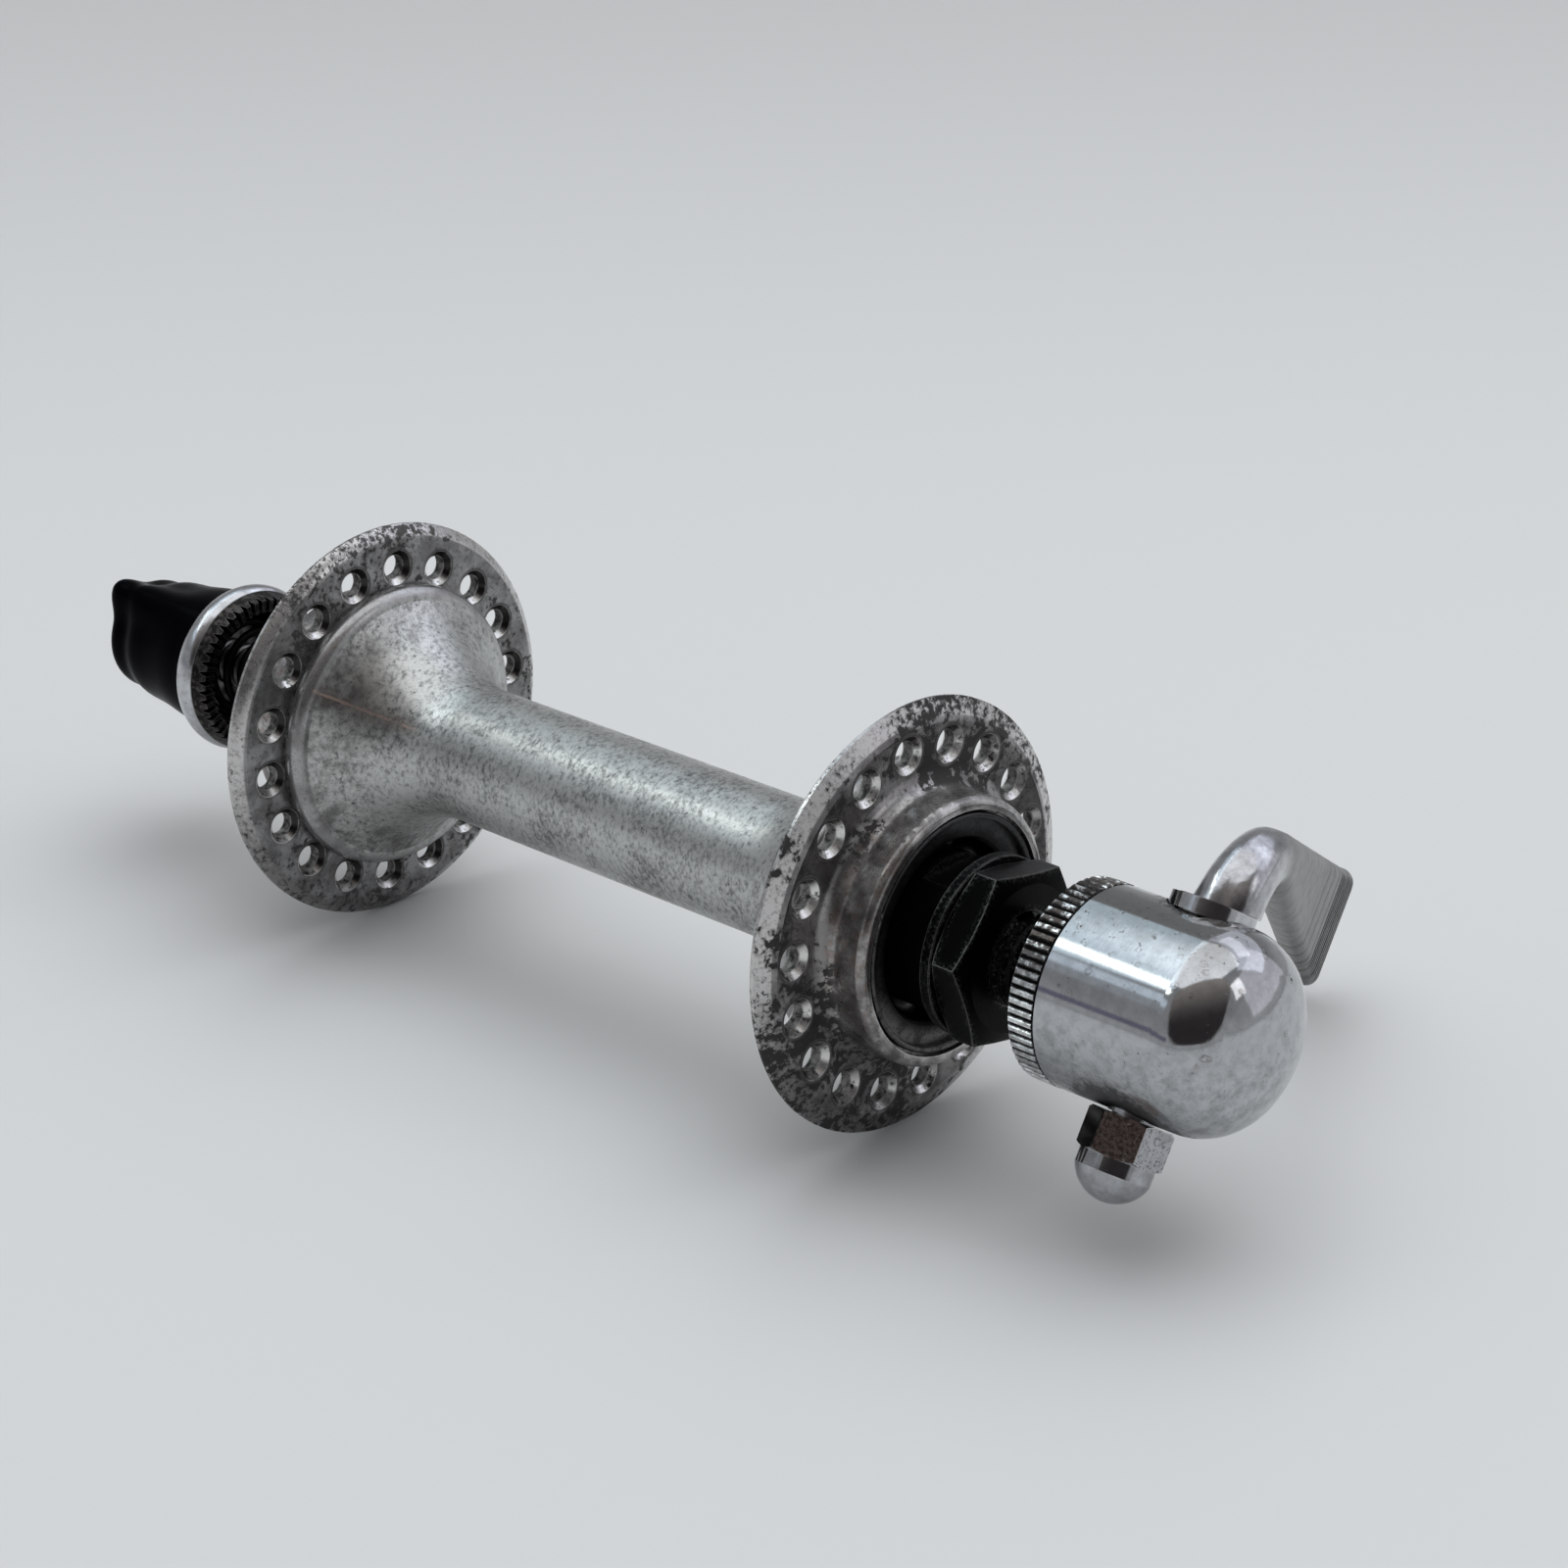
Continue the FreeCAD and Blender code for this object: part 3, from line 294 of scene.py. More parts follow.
def worn_aluminium():
    """Grey aluminium with fine dark pits, a dark film and black dirt on the flanges, and worn rims, with
    painted highlights and shadows round the spoke holes and a painted warm reflection on one flare.
    """
    s = Surface("worn_aluminium")
    x, y, z = s.axes()
    radius = s.radius()
    along = s.maths("ABSOLUTE", y)
    lever_half = s.step(y, -5.0, 5.0)
    grain = s.noise(1.0, 5, 0.70, seed=2.0, place=s.stretched(0.62, 0.46, 0.62))
    fine = s.noise(1.0, 4, 0.7, seed=3.0, place=s.stretched(0.26, 0.18, 0.26))
    lathe = s.noise(1.0, 2, 0.5, seed=4.0, place=s.stretched(2.2, 0.10, 2.2))
    pits = s.step(s.plus(s.cells(0.75, seed=7.0), s.times(s.plus(grain, -0.5), 0.9)), 0.20, 0.10)
    blots = s.noise(0.8, 4, 0.7, seed=6.0)
    smears = s.noise(3.2, 4, 0.6, seed=5.0)
    wide = s.noise(7.0, 2, 0.5, seed=1.0)

    # The pitted ground, darker in wide clouds and smudged where the barrel meets the flanges
    clouds = s.plus(s.times(s.plus(wide, -0.5), 0.30), s.times(s.plus(smears, -0.5), 0.35))
    light = s.step(s.plus(grain, clouds), 0.28, 0.60)
    ground = s.colour(light, (0.16, 0.163, 0.16), (0.545, 0.555, 0.54))
    ground = s.colour(s.times(s.step(fine, 0.52, 0.68), 0.45), ground, (0.12, 0.12, 0.118))
    ground = s.colour(s.times(pits, 0.6), ground, (0.07, 0.07, 0.068))
    flare = s.times(s.step(along, *flare_along), s.step(radius, *flare_radius))
    smudge = s.times(flare, s.step(s.plus(smears, s.times(s.facing(smudged_side), 0.05)), 0.48, 0.66))
    ground = s.colour(s.times(smudge, 0.75), ground, (0.095, 0.09, 0.088))

    # Films: dark and smooth on the outer faces, lighter inside, mottled and brownish on the bosses
    on_flange = s.times(s.step(radius, *flange_radius), s.step(along, *inner_face_along))
    bead = s.times(s.step(radius, *bead_radius), s.step(along, *bead_start), s.step(along, *bead_end))
    outer = s.times(s.step(along, *outer_face_along), s.step(radius, *outer_face_radius))
    boss = s.times(s.step(along, *boss_along), s.step(radius, *boss_radius))
    outer_tone = s.colour(s.step(smears, 0.36, 0.66), (0.145, 0.137, 0.139), (0.34, 0.332, 0.33))
    inner_tone = s.colour(s.step(smears, 0.38, 0.60), (0.29, 0.29, 0.29), (0.14, 0.137, 0.137))
    boss_tone = s.colour(s.step(smears, 0.34, 0.62), (0.60, 0.59, 0.58), (0.16, 0.152, 0.149))
    brown = s.times(s.step(s.facing(brown_side), 0.55, 0.95), s.step(blots, 0.42, 0.62), 0.6)
    boss_tone = s.colour(brown, boss_tone, (0.26, 0.185, 0.155))
    colour = s.colour(s.times(bead, 0.6), ground, s.colour(smears, (0.56, 0.555, 0.56), (0.20, 0.19, 0.19)))
    colour = s.colour(s.times(on_flange, 0.85), colour, inner_tone)
    colour = s.colour(s.times(outer, 0.95), colour, outer_tone)
    colour = s.colour(s.times(boss, 0.88), colour, boss_tone)
    flat = s.most(on_flange, outer, boss, s.times(bead, 0.7))
    colour = s.colour(s.times(flat, s.step(grain, 0.52, 0.64), 0.55), colour, (0.05, 0.047, 0.045))

    # The rims: worn bright with dark pits, darker towards the lower side
    bevel = s.times(s.step(radius, *bevel_radius), s.step(along, *bevel_start), s.step(along, *bevel_end))
    rim = s.most(s.step(radius, *rim_radius), bevel)
    mottle = s.noise(0.5, 5, 0.75, seed=10.0)
    darker_rim = s.step(s.plus(s.facing(darker_rim_side), s.times(blots, 0.6)), 0.7, 1.2)
    rim_tone = s.colour(darker_rim, (0.64, 0.63, 0.62), (0.24, 0.235, 0.23))
    rim_tone = s.colour(s.times(s.step(mottle, 0.49, 0.62), 0.7), rim_tone, (0.21, 0.20, 0.198))
    colour = s.colour(s.times(rim, 0.9), colour, rim_tone)

    # Black dirt in speckled patches and in creases, and painted shadow as a black ring round the holes,
    # full on their unlit side
    patches = s.noise(4.5, 3, 0.55, seed=8.0)
    lever_zone = s.most(s.step(s.facing(lever_dirt_above), 0.70, 0.97),
                        s.step(s.facing(lever_dirt_below), 0.45, 0.95))
    nut_zone = s.most(s.step(s.facing(nut_dirt_above), 0.60, 0.97),
                      s.times(s.step(s.facing(nut_dirt_below), 0.4, 0.95), 0.6))
    zone = s.number(lever_half, nut_zone, lever_zone)
    ragged = s.noise(0.8, 4, 0.66, seed=9.0)
    patch = s.plus(s.times(s.plus(patches, -0.5), s.number(lever_half, 0.6, 0.9)),
                   s.times(zone, s.number(lever_half, 0.06, 0.15)))
    dirt = s.times(s.most(on_flange, outer), s.step(s.plus(ragged, patch), 0.60, 0.65))
    stained = s.times(s.most(on_flange, outer), s.step(s.plus(ragged, patch), 0.50, 0.62))
    colour = s.colour(s.times(stained, 0.5), colour, (0.085, 0.081, 0.080))
    pitted = s.times(rim, s.step(s.plus(mottle, s.times(zone, 0.10)), 0.61, 0.67), 0.9)
    crease = s.times(s.step(s.cavity(1.6), 0.35, 0.80), s.step(blots, 0.30, 0.52))
    hole, lit = spoke_hole(s, x, y, z, lever_half)
    holed = s.times(on_flange, s.step(hole, *round_hole))
    ring = s.times(holed, s.step(hole, *black_ring), s.number(lit, 1.0, 0.3))
    black = s.most(s.without(s.most(dirt, crease), holed), pitted, s.times(ring, 0.8))
    colour = s.colour(s.times(black, s.number(lever_half, 0.85, 0.95)), colour, (0.014, 0.013, 0.012))

    # The spoke holes: countersinks with a painted highlight on their lit side and painted shade on the
    # other, grey dirt on their walls
    sink = s.times(holed, s.step(hole, *countersink))
    wall = s.times(holed, s.step(hole, *hole_wall))
    # painted highlight: the countersink is bright on the lit side of each hole, broken by blots
    lit_glint = s.times(lit, s.step(blots, 0.66, 0.50))
    sink_tone = s.colour(lit_glint, (0.035, 0.033, 0.031), (0.72, 0.715, 0.70))
    wall_tone = s.colour(s.step(blots, 0.36, 0.60), (0.30, 0.295, 0.275), (0.03, 0.029, 0.027))
    colour = s.colour(sink, colour, sink_tone)
    colour = s.colour(wall, colour, wall_tone)

    # Bright edges, and a painted reflection of a warm light on the nut side's flare: a thin coppery line in
    # a soft brownish glow
    bright = s.without(s.edges(0.35), black)
    colour = s.colour(s.times(bright, s.step(blots, 0.62, 0.48), 0.75), colour, (0.66, 0.655, 0.64))
    angle = s.maths("ARCTAN2", z, x)
    off_line = s.maths("ABSOLUTE", s.maths("SUBTRACT", angle, math.radians(reflection_line_side)))
    off_line = s.plus(s.times(off_line, radius), s.times(s.plus(blots, -0.5), 0.35))
    run = s.times(s.step(y, *reflection_line_start), s.step(y, *reflection_line_end))
    # painted reflection: a soft brownish glow along the line, and the bright coppery line itself
    stain = s.times(s.step(off_line, 1.3, 0.2), run)
    warm_reflection_line = s.times(s.step(off_line, 0.20, 0.06), run, s.step(s.plus(fine, smears), 0.86, 1.06))
    colour = s.colour(s.times(stain, 0.35), colour, (0.24, 0.18, 0.16))
    colour = s.colour(s.times(warm_reflection_line, 0.8), colour, (0.66, 0.50, 0.43))

    roughness = s.number(light, 0.42, 0.30)
    roughness = s.number(flat, roughness, s.number(smears, 0.20, 0.32))
    roughness = s.number(s.most(black, wall), roughness, 0.6)
    relief = s.plus(s.plus(s.times(grain, 0.7), s.times(fine, 0.18)), s.times(lathe, 0.14))
    relief = s.plus(s.number(flat, relief, s.times(blots, 0.5)), s.times(s.most(dirt, pitted), 0.25))
    s.bump(relief, 0.035, 0.8)
    return s.finish(colour, roughness, s.number(s.most(black, s.times(wall, 0.6)), 0.88, 0.3))


def cap_steel():
    """Dull dark steel with painted light that makes it lighter and mottled lower down, a greasy black film
    and painted shade towards the axle, and a thin pale rim.
    """
    s = Surface("cap_steel", Specular_IOR_Level=0.1)
    radius = s.radius()
    stain = s.noise(1.8, 4, 0.65, seed=11.0)
    fine = s.noise(0.35, 4, 0.65, seed=12.0)
    # painted light: the lower side of the cap is lighter, in mottled patches
    low = s.step(s.facing(cap_lit_side), 0.2, 0.9)
    # greasy film and painted shade: near black towards the axle, where the lock nut shades the cap
    grease_and_shade = s.step(s.plus(radius, s.times(stain, 1.6)), 11.2, 9.9)
    colour = s.colour(stain, (0.030, 0.031, 0.032), (0.075, 0.077, 0.076))
    colour = s.colour(s.times(low, s.step(stain, 0.36, 0.52), 0.9), colour, (0.14, 0.14, 0.128))
    colour = s.colour(s.times(s.step(fine, 0.52, 0.62), 0.7), colour, (0.016, 0.016, 0.016))
    colour = s.colour(s.times(grease_and_shade, 0.97), colour, (0.003, 0.003, 0.003))
    colour = s.colour(s.times(s.step(s.cavity(0.8), 0.4, 0.8), 0.9), colour, (0.008, 0.008, 0.008))
    pale = s.times(s.edges(0.35), s.step(radius, 10.8, 11.2), s.step(fine, 0.66, 0.45))
    colour = s.colour(s.times(pale, 0.9), colour, (0.42, 0.42, 0.41))
    s.bump(fine, 0.02)
    return s.finish(colour, s.number(stain, 0.30, 0.46), s.number(grease_and_shade, 1.0, 0.6))


def black_oxide(name, seed, shade=0.002, edge=0.17):
    """Blackened steel, greasy, with thin worn edges and grey-green specks."""
    s = Surface(name, Specular_IOR_Level=0.04)
    blots = s.noise(0.9, 4, 0.65, seed=seed)
    fine = s.noise(0.28, 4, 0.65, seed=seed + 1)
    line = s.times(s.edges(0.30), s.step(blots, 0.66, 0.46, 0.25, 1.0))
    rubbed = s.times(s.step(s.edges(1.4), 0.05, 0.5), s.step(fine, 0.48, 0.60), s.step(blots, 0.36, 0.52))
    dark = (shade * 0.6, shade * 0.6, shade * 0.7)
    pale = (shade * 1.6, shade * 1.7, shade * 1.6)
    colour = s.colour(blots, dark, pale)
    colour = s.colour(s.times(rubbed, 0.8), colour, (0.085, 0.10, 0.088))
    colour = s.colour(line, colour, (edge, edge, edge * 0.96))
    s.bump(fine, 0.02)
    return s.finish(colour, s.number(blots, 0.28, 0.45), s.number(line, 0.75, 0.95))


def plain_steel(name, seed, pale, dark, rough=0.25):
    """Bright or plated steel with a light film of oil and small stains."""
    s = Surface(name)
    blots = s.noise(1.2, 4, 0.6, seed=seed)
    fine = s.noise(0.3, 3, 0.6, seed=seed + 1)
    colour = s.colour(s.step(blots, 0.35, 0.7), pale, dark)
    colour = s.colour(s.times(s.step(s.cavity(0.7), 0.3, 0.8), 0.85), colour, (0.02, 0.018, 0.016))
    s.bump(fine, 0.008)
    return s.finish(colour, s.number(blots, rough * 0.7, rough * 1.4), 1.0)


# Materials of the quick release

def chrome(s, seed, haze, pale, dull, cloudy=1.0, spotted=0.0):
    """The colour, roughness, pit mask and relief of worn chrome, for a material to add stains to."""
    clouds = s.noise(1.3, 5, 0.68, seed=seed)
    fine = s.noise(0.42, 4, 0.7, seed=seed + 2)
    cells = s.plus(s.cells(1.35, seed=seed + 3), s.times(s.plus(fine, -0.5), 0.5))
    where = s.most(s.step(s.noise(3.6, 2, 0.5, seed=seed + 4), 0.47, 0.60), spotted)
    core = s.times(s.step(cells, 0.15, 0.10), where)
    halo = s.times(s.step(cells, 0.36, 0.28), s.step(cells, 0.18, 0.26), where, s.step(clouds, 0.40, 0.54))
    dots = s.times(s.step(fine, 0.63, 0.69), s.step(clouds, 0.44, 0.56))
    pits = s.most(core, dots)
    colour = s.colour(s.times(s.step(clouds, 0.36, 0.68), cloudy), pale, dull)
    colour = s.colour(s.times(halo, 0.55), colour, (0.15, 0.13, 0.115))
    colour = s.colour(pits, colour, (0.04, 0.034, 0.030))
    roughness = s.number(s.step(clouds, 0.3, 0.7), 0.05 + 0.05 * haze, 0.08 + 0.16 * haze)
    relief = s.maths("SUBTRACT", s.plus(s.times(fine, 0.25), s.times(clouds, 0.2)), pits)
    return colour, roughness, pits, relief


def housing_chrome():
    """Chrome: clearer above, hazy below, stained along its top, and black round the nut's foot, round the
    lever's foot and in the joint at its end.
    """
    s = Surface("housing_chrome")
    _, y, z = s.axes()
    low = s.step(z, 3.0, -1.5)
    spotted = s.times(s.most(s.step(z, 6.0, 8.0), s.step(y, 60.5, 58.5)), 0.8)
    colour, roughness, pits, relief = chrome(s, 71.0, 0.15, (0.50, 0.51, 0.525), (0.33, 0.34, 0.35),
                                             cloudy=s.number(low, 0.55, 1.0), spotted=spotted)
    blots = s.noise(0.8, 4, 0.7, seed=76.0)
    smears = s.noise(2.2, 4, 0.6, seed=77.0)
    top = s.step(s.plus(z, s.times(s.plus(smears, -0.5), 3.0)), 7.6, 9.4)
    colour = s.colour(s.times(top, 0.55), colour, (0.24, 0.235, 0.225))
    rust = s.times(s.step(z, 6.8, 8.8), s.step(blots, 0.60, 0.68))
    colour = s.colour(s.times(rust, 0.9), colour, (0.040, 0.030, 0.026))
    # black round the nut's foot and the lever's foot, and in the joint where the housing ends
    around_nut = s.step(s.plus(s.near(nut_foot), s.times(s.plus(blots, -0.5), 4.0)), 6.9, 5.2)
    around_lever = s.times(s.step(s.near(lever_foot), 5.6, 4.6), s.step(blots, 0.44, 0.56))
    joint = s.times(s.step(y, housing_end + 0.7, housing_end), s.step(blots, 0.40, 0.55))
    blackened = s.most(s.times(around_nut, 0.93), around_lever, joint)
    colour = s.colour(s.times(blackened, 0.92), colour, (0.016, 0.014, 0.013))
    streaks = s.noise(1.0, 4, 0.7, seed=78.0, place=s.stretched(0.5, 1.1, 0.8))
    colour = s.colour(s.times(low, s.step(streaks, 0.54, 0.68), 0.55), colour, (0.22, 0.22, 0.225))
    roughness = s.plus(roughness, s.times(low, s.number(streaks, 0.02, 0.16)))
    roughness = s.number(s.most(blackened, pits), roughness, 0.5)
    brushed = s.noise(1.0, 3, 0.6, seed=79.0, place=s.stretched(1.4, 0.09, 1.4))
    s.bump(s.plus(s.times(relief, s.number(low, 0.45, 1.0)), s.times(brushed, 0.30)), 0.02, 0.5)
    return s.finish(colour, roughness, s.number(s.most(blackened, rust), 1.0, 0.5))


def small_chrome(name, seed, haze, crease=0.9, pale=(0.56, 0.57, 0.59), dull=(0.40, 0.40, 0.41)):
    """Chrome of the small pieces, with bright edges, and dirt with painted shade in the creases and where
    other parts come close, ready for more stains.
    """
    s = Surface(name)
    colour, roughness, _, relief = chrome(s, seed, haze, pale, dull)
    colour = s.colour(s.times(s.edges(0.22), 0.6), colour, (0.74, 0.74, 0.74))
    # dirt and painted shade: darker where this or another part comes close
    dirt = s.step(s.cavity(1.0, alone=False, samples=16), 0.55, 0.95)
    colour = s.colour(s.times(dirt, crease), colour, (0.02, 0.017, 0.015))
    s.bump(relief, 0.015, 0.5)
    return s, colour, roughness


def nut_face(s, degrees):
    """1 on the domed nut's flat whose middle lies at an angle about the cam shaft."""
    turn = math.radians(degrees)
    side = Vector((-math.cos(cam_tilt), 0, -math.sin(cam_tilt)))
    across = side * math.cos(turn) + Vector((0, 1, 0)) * math.sin(turn)
    dot = s.add("ShaderNodeVectorMath", operation="DOT_PRODUCT")
    s.put(dot.inputs[0], s.stretched(1, 1, 1))
    dot.inputs[1].default_value = across
    reached = s.maths("SUBTRACT", dot.outputs["Value"], across.y * cam_place)
    down = s.add("ShaderNodeVectorMath", operation="DOT_PRODUCT")
    s.put(down.inputs[0], s.stretched(1, 1, 1))
    down.inputs[1].default_value = (math.sin(cam_tilt), 0, -math.cos(cam_tilt))
    on_hexagon = s.step(down.outputs["Value"], hexagon_end + 0.05, hexagon_end - 0.05)
    return s.times(s.step(reached, nut_half_width - 0.12, nut_half_width - 0.04), on_hexagon)


def acorn_chrome():
    """The domed nut: one flat black, the next mottled brown, the third finely stained."""
    s, colour, roughness = small_chrome("acorn_chrome", 81.0, 0.3, pale=(0.44, 0.45, 0.47),
                                        dull=(0.32, 0.32, 0.33))
    fine = s.noise(0.3, 4, 0.7, seed=87.0)
    smears = s.noise(1.2, 3, 0.6, seed=88.0)
    brown = nut_face(s, nut_turn + 150)
    black_flat = nut_face(s, nut_turn + 210)
    grey = nut_face(s, nut_turn + 90)
    tone = s.colour(s.step(fine, 0.40, 0.62), (0.10, 0.072, 0.062), (0.34, 0.27, 0.245))
    tone = s.colour(s.step(smears, 0.62, 0.70), tone, (0.66, 0.58, 0.55))
    colour = s.colour(s.times(brown, 0.93), colour, tone)
    colour = s.colour(s.times(black_flat, 0.96), colour, (0.012, 0.012, 0.013))
    colour = s.colour(s.times(grey, s.step(fine, 0.53, 0.60), 0.8), colour, (0.07, 0.07, 0.068))
    below = s.step(s.plus(s.near(nut_tip), s.times(s.plus(smears, -0.5), 1.6)), 4.0, 3.2)
    colour = s.colour(s.times(below, s.step(fine, 0.40, 0.52), 0.8), colour, (0.05, 0.045, 0.042))
    return s.finish(colour, s.number(brown, roughness, 0.34), 1.0)


def washer_chrome():
    """The washer under the lever: hazy, with little dirt and painted shade."""
    s, colour, roughness = small_chrome("washer_chrome", 91.0, 0.5, crease=0.5)
    return s.finish(colour, roughness, 1.0)


def ring_chrome():
    """The toothed clamp ring: a satin band, and teeth that are black with grease."""
    s, colour, roughness = small_chrome("ring_chrome", 95.0, 0.9, crease=0.4)
    blots = s.noise(0.7, 4, 0.65, seed=97.0)
    _, y, _ = s.axes()
    toothed = s.step(y, -toothed_end - 0.10, -toothed_end + 0.10)
    greasy = s.colour(s.step(blots, 0.45, 0.62), (0.016, 0.015, 0.014), (0.075, 0.07, 0.066))
    greasy = s.colour(s.times(s.edges(0.18), 0.5), greasy, (0.22, 0.215, 0.21))
    colour = s.colour(s.times(s.step(blots, 0.64, 0.72), 0.6), colour, (0.08, 0.078, 0.08))
    colour = s.colour(toothed, colour, greasy)
    return s.finish(colour, s.number(toothed, s.plus(roughness, 0.06), 0.45), 1.0)


def knurled_steel():
    """The clamping ring: bright tops of the ridges and black dirt between them, brown towards the top."""
    s = Surface("knurled_steel")
    _, _, z = s.axes()
    blots = s.noise(0.9, 4, 0.7, seed=31.0)
    fine = s.noise(0.35, 4, 0.7, seed=32.0)
    deep = s.step(s.maths("SUBTRACT", s.radius(), s.times(s.plus(blots, fine), 0.22)), knurl_radius,
                  knurl_radius - 0.14)
    rust = s.times(s.step(z, 1.5, 7.0), s.step(blots, 0.36, 0.52))
    colour = s.colour(s.step(blots, 0.35, 0.65), (0.85, 0.87, 0.87), (0.38, 0.38, 0.375))
    colour = s.colour(s.times(rust, 0.92), colour, (0.040, 0.027, 0.022))
    colour = s.colour(deep, colour, (0.008, 0.007, 0.007))
    s.bump(s.plus(fine, blots), 0.04)
    return s.finish(colour, s.number(blots, 0.12, 0.34), s.number(deep, 1.0, 0.3))


def lever_metal():
    """Plated lever: shiny on the shank, dull on the blade, with dirt in the finger grooves of its tip."""
    s = Surface("lever_metal")
    clouds = s.noise(1.3, 5, 0.68, seed=41.0)
    fine = s.noise(0.35, 4, 0.7, seed=42.0)
    x, _, _ = s.axes()
    blade = s.step(x, -10.5, -16.5)
    dot = s.add("ShaderNodeVectorMath", operation="DOT_PRODUCT")
    s.put(dot.inputs[0], s.stretched(1, 1, 1))
    dot.inputs[1].default_value = blade_way
    out = dot.outputs["Value"]
    out = s.plus(out, s.times(s.plus(clouds, -0.5), 0.9))
    ribbed = s.times(s.step(out, ribs_start, ribs_start + 1.0), s.step(out, ribs_end, ribs_end - 1.0))
    groove = s.times(ribbed, s.step(s.maths("PINGPONG", out, groove_pitch / 2), 0.95, 0.30))
    shank_tone = s.colour(s.step(clouds, 0.34, 0.66), (0.52, 0.525, 0.545), (0.35, 0.35, 0.365))
    blade_tone = s.colour(s.step(clouds, 0.34, 0.66), (0.22, 0.224, 0.22), (0.15, 0.153, 0.15))
    colour = s.colour(blade, shank_tone, blade_tone)
    colour = s.colour(s.times(ribbed, 0.45), colour, (0.14, 0.14, 0.138))
    colour = s.colour(s.times(groove, s.step(fine, 0.66, 0.40), 0.7), colour, (0.07, 0.068, 0.065))
    colour = s.colour(s.times(s.step(fine, 0.64, 0.72), 0.5), colour, (0.10, 0.10, 0.10))
    roughness = s.number(blade, s.number(clouds, 0.10, 0.26), s.number(clouds, 0.30, 0.44))
    relief = s.plus(s.times(fine, 0.12), s.times(groove, -1.0))
    s.bump(relief, 0.12, 0.7)
    return s.finish(colour, roughness, 1.0)


def black_plastic():
    """Glossy black moulded plastic, lightly scratched and dusty."""
    s = Surface("black_plastic", Specular_IOR_Level=0.01)
    blots = s.noise(2.0, 4, 0.6, seed=51.0)
    scratches = s.noise(1.0, 4, 0.7, seed=52.0, place=s.stretched(0.15, 2.5, 0.4))
    dust = s.times(s.step(scratches, 0.58, 0.70), s.step(blots, 0.45, 0.65))
    colour = s.colour(s.times(dust, 0.5), (0.0008, 0.0009, 0.0014), (0.007, 0.0065, 0.007))
    s.bump(scratches, 0.01, 0.4)
    return s.finish(colour, s.number(blots, 0.16, 0.32), 0.0)


# Which node gets which material

def dress():
    shell = worn_aluminium()
    cap = cap_steel()
    oxide = black_oxide("black_oxide", 61.0)
    cone_black = black_oxide("cone_black", 64.0, shade=0.004, edge=0.06)
    # painted shade: the axle's edges are kept dim, as it lies in shade inside the hub
    axle_black = black_oxide("axle_black", 67.0, shade=0.003, edge=0.03)
    housing = housing_chrome()
    acorn = acorn_chrome()
    washer = washer_chrome()
    nut_ring = ring_chrome()
    knurl = knurled_steel()
    lever = lever_metal()
    plastic = black_plastic()
    # painted shade: the balls, cups and springs are near black, as they lie in shade inside the hub
    balls = plain_steel("ball_steel", 101.0, (0.10, 0.10, 0.10), (0.04, 0.039, 0.037), 0.35)
    cups = plain_steel("cup_steel", 103.0, (0.08, 0.08, 0.08), (0.03, 0.029, 0.027), 0.45)
    spring = plain_steel("spring_steel", 105.0, (0.012, 0.011, 0.011), (0.006, 0.006, 0.005), 0.45)
    rod = plain_steel("rod_steel", 107.0, (0.46, 0.46, 0.47), (0.26, 0.25, 0.24), 0.30)
    insert = plain_steel("insert_steel", 109.0, (0.30, 0.30, 0.30), (0.14, 0.135, 0.13), 0.30)
    choices = {
        "hub_shell": shell, "axle": axle_black, "cam_housing": housing, "clamp_ring_lever_side": knurl,
        "skewer_rod": rod, "cam_lever": lever, "lever_washer": washer, "acorn_nut": acorn,
        "clamp_ring_nut_side": nut_ring, "nut_grip": plastic, "nut_insert": insert,
    }
    for side in ("lever_side", "nut_side"):
        choices["dust_cap_" + side] = cap
        choices["lock_nut_" + side] = oxide
        choices["lock_washer_" + side] = oxide
        choices["cone_" + side] = cone_black
        choices["bearing_cup_" + side] = cups
        choices["bearing_balls_" + side] = balls
        choices["volute_spring_" + side] = spring
    for name, material in choices.items():
        mesh = nodes[name].data
        mesh.materials.clear()
        mesh.materials.append(material)


# Floor, backdrop, lights and camera

def dusk_card():
    """Even violet grey, as the far wall."""
    s = Surface("dusk_card", Specular_IOR_Level=0.2)
    return s.finish((0.24, 0.23, 0.31, 1.0), 0.9)


def span(degrees, distance):
    """The width that covers an angle at a distance."""
    return 2 * distance * math.tan(math.radians(degrees / 2))


def towards(azimuth, elevation):
    """The direction from the hub, azimuth from +X towards +Y, both in degrees."""
    a, e = math.radians(azimuth), math.radians(elevation)
    return Vector((math.cos(a) * math.cos(e), math.sin(a) * math.cos(e), math.sin(e)))


def face_hub(holder, direction, distance):
    holder.location = direction * distance
    holder.rotation_euler = direction.to_track_quat("Z", "Y").to_euler()
    holder.visible_camera = False


def lamp(name, azimuth, elevation, wide, high, colour, radiance, distance):
    """A soft rectangular lamp that covers wide by high degrees as the hub sees it."""
    light = bpy.data.lights.new(name, "AREA")
    light.shape = "RECTANGLE"
    light.size = span(wide, distance)
    light.size_y = span(high, distance)
    light.color = colour
    light.energy = radiance * light.size * light.size_y * math.pi
    holder = bpy.data.objects.new(name, light)
    bpy.context.scene.collection.objects.link(holder)
    face_hub(holder, towards(azimuth, elevation), distance)
    return holder


def card(name, azimuth, elevation, wide, high, material, distance=1.2):
    """A dark card that the camera doesn't see: it gives polished metal something dark to mirror."""
    bpy.ops.mesh.primitive_plane_add(size=1)
    piece = bpy.context.object
    piece.name = name
    face_hub(piece, towards(azimuth, elevation), distance)
    piece.scale = (span(wide, distance), span(high, distance), 1)
    piece.data.materials.append(material)
    piece.visible_shadow = False
    piece.visible_diffuse = False
    return piece


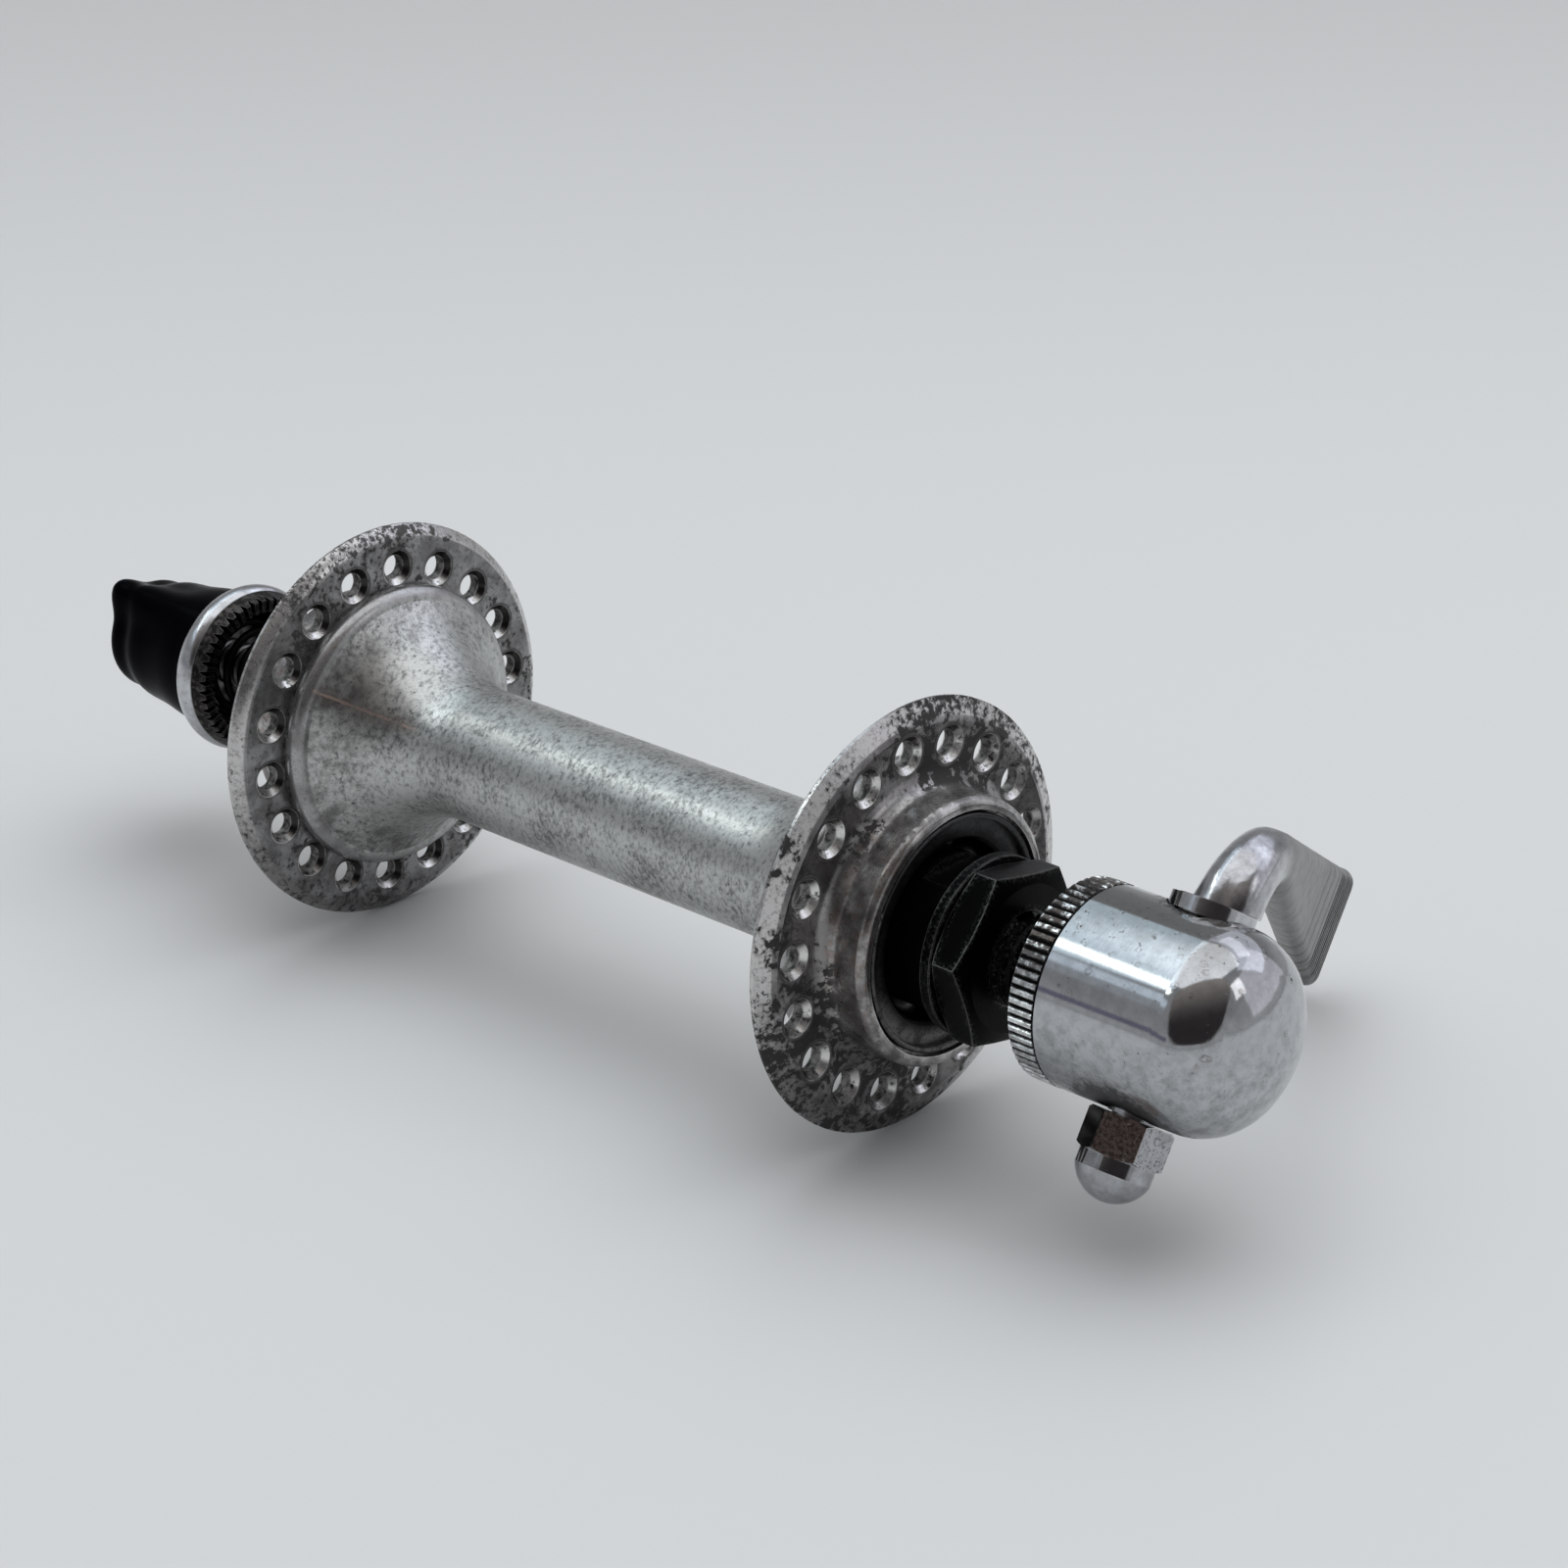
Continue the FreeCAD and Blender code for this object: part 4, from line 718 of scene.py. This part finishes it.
def dim_room_card():
    """Black at the bottom, warm grey at the top, as the room behind the camera."""
    s = Surface("dim_room")
    height = s.add("ShaderNodeSeparateXYZ")
    s.put(height.inputs[0], s.place)
    share = s.step(height.outputs[1], -0.16, 0.46)
    s.finish(s.colour(share, (0.050, 0.040, 0.040), (0.44, 0.39, 0.36)), 0.9)
    rounding = s.add("ShaderNodeVectorMath", operation="LENGTH")
    s.put(rounding.inputs[0], s.times_vector(s.place, (1.0, 1.0, 0.0)))
    s.put(s.shader.inputs["Alpha"], s.step(rounding.outputs["Value"], 0.66, 0.54))
    return s.material


def world():
    """Pale near the horizon, dimmer above, the same for every ray."""
    studio_world = bpy.data.worlds.new("studio")
    bpy.context.scene.world = studio_world
    studio_world.use_nodes = True
    tree = studio_world.node_tree
    place = tree.nodes.new("ShaderNodeTexCoord")
    parts = tree.nodes.new("ShaderNodeSeparateXYZ")
    ramp = tree.nodes.new("ShaderNodeValToRGB")
    tree.links.new(place.outputs["Generated"], parts.inputs[0])
    tree.links.new(parts.outputs[2], ramp.inputs["Fac"])
    tree.links.new(ramp.outputs["Color"], tree.nodes["Background"].inputs["Color"])
    stops = ramp.color_ramp.elements
    horizon = (0.44, 0.45, 0.46, 1.0)
    above = (0.31, 0.315, 0.325, 1.0)
    for stop, height, colour in ((stops[0], 0.03, horizon), (stops[1], 0.30, above)):
        stop.position = height
        stop.color = colour


def pale_floor():
    """Pale and plain, with painted shade that makes it a little darker far behind the hub."""
    s = Surface("floor_pale", Specular_IOR_Level=0.2)
    away = s.add("ShaderNodeVectorMath", operation="DOT_PRODUCT")
    s.put(away.inputs[0], s.place)
    away.inputs[1].default_value = (math.cos(camera_yaw), math.sin(camera_yaw), 0.0)
    share = s.step(away.outputs["Value"], 0.05, 0.62)
    return s.finish(s.colour(share, (0.615, 0.627, 0.631), (0.490, 0.498, 0.500)), 0.7)


def studio():
    low, _ = cad_bounds
    bpy.ops.mesh.primitive_plane_add(size=12)
    floor = bpy.context.object
    floor.name = "floor"
    floor.location = (0, 0, low[2] - floor_gap)
    floor.data.materials.append(pale_floor())
    card("room_card", 42, 37, 84, 66, dim_room_card())
    card("edge_card", -30, 7, 60, 4.5, dusk_card())
    lamp("ceiling", 0, 90, 62, 62, (0.98, 1.0, 1.02), 0.95, 1.4)
    lamp("right_window", 108, 33, 12, 20, (1.0, 1.0, 1.0), 1.2, 1.4)
    for name, azimuth, elevation, wide, high, colour, radiance, distance in (
        ("window", -88, 56.5, 62, 18, (0.55, 0.70, 0.80), 1.0, 1.5),
        ("window_edge", -58, 48.5, 36, 4.5, (1.0, 1.05, 1.0), 3.6, 1.45),
        ("low_window", -42, 37.0, 30, 7, (0.36, 0.43, 0.50), 1.0, 1.45),
        ("lower_window", -42, 33, 34, 13, (0.08, 0.10, 0.12), 1.0, 1.46),
        ("back_window", 172, 42, 60, 34, (0.88, 0.92, 1.08), 0.62, 1.55),
        ("back_core", 178, 48, 34, 14, (0.92, 0.96, 1.05), 0.75, 1.55),
        ("right_wall", 138, 24, 50, 40, (0.92, 0.90, 1.0), 0.40, 1.55),
    ):
        lamp(name, azimuth, elevation, wide, high, colour, radiance, distance).visible_diffuse = False
    lamp("fill", 180, 78, 112, 112, (1.0, 1.0, 1.0), 0.30, 2.0).visible_glossy = False
    lamp("main_fill", 190, 62, 50, 50, (1.0, 1.0, 1.0), 1.2, 3.0).visible_glossy = False
    world()
    bpy.context.scene.view_settings.view_transform = "Standard"


def camera():
    data = bpy.data.cameras.new("camera")
    data.sensor_width = sensor_width
    data.lens = sensor_width * focal_length / picture_width
    data.clip_start = 0.01
    data.clip_end = 50.0
    holder = bpy.data.objects.new("camera", data)
    bpy.context.scene.collection.objects.link(holder)
    holder.location = camera_place
    holder.rotation_euler = (math.pi / 2 + camera_pitch, 0, camera_yaw - math.pi / 2)
    bpy.context.scene.camera = holder


def main():
    dress()
    studio()
    camera()


main()
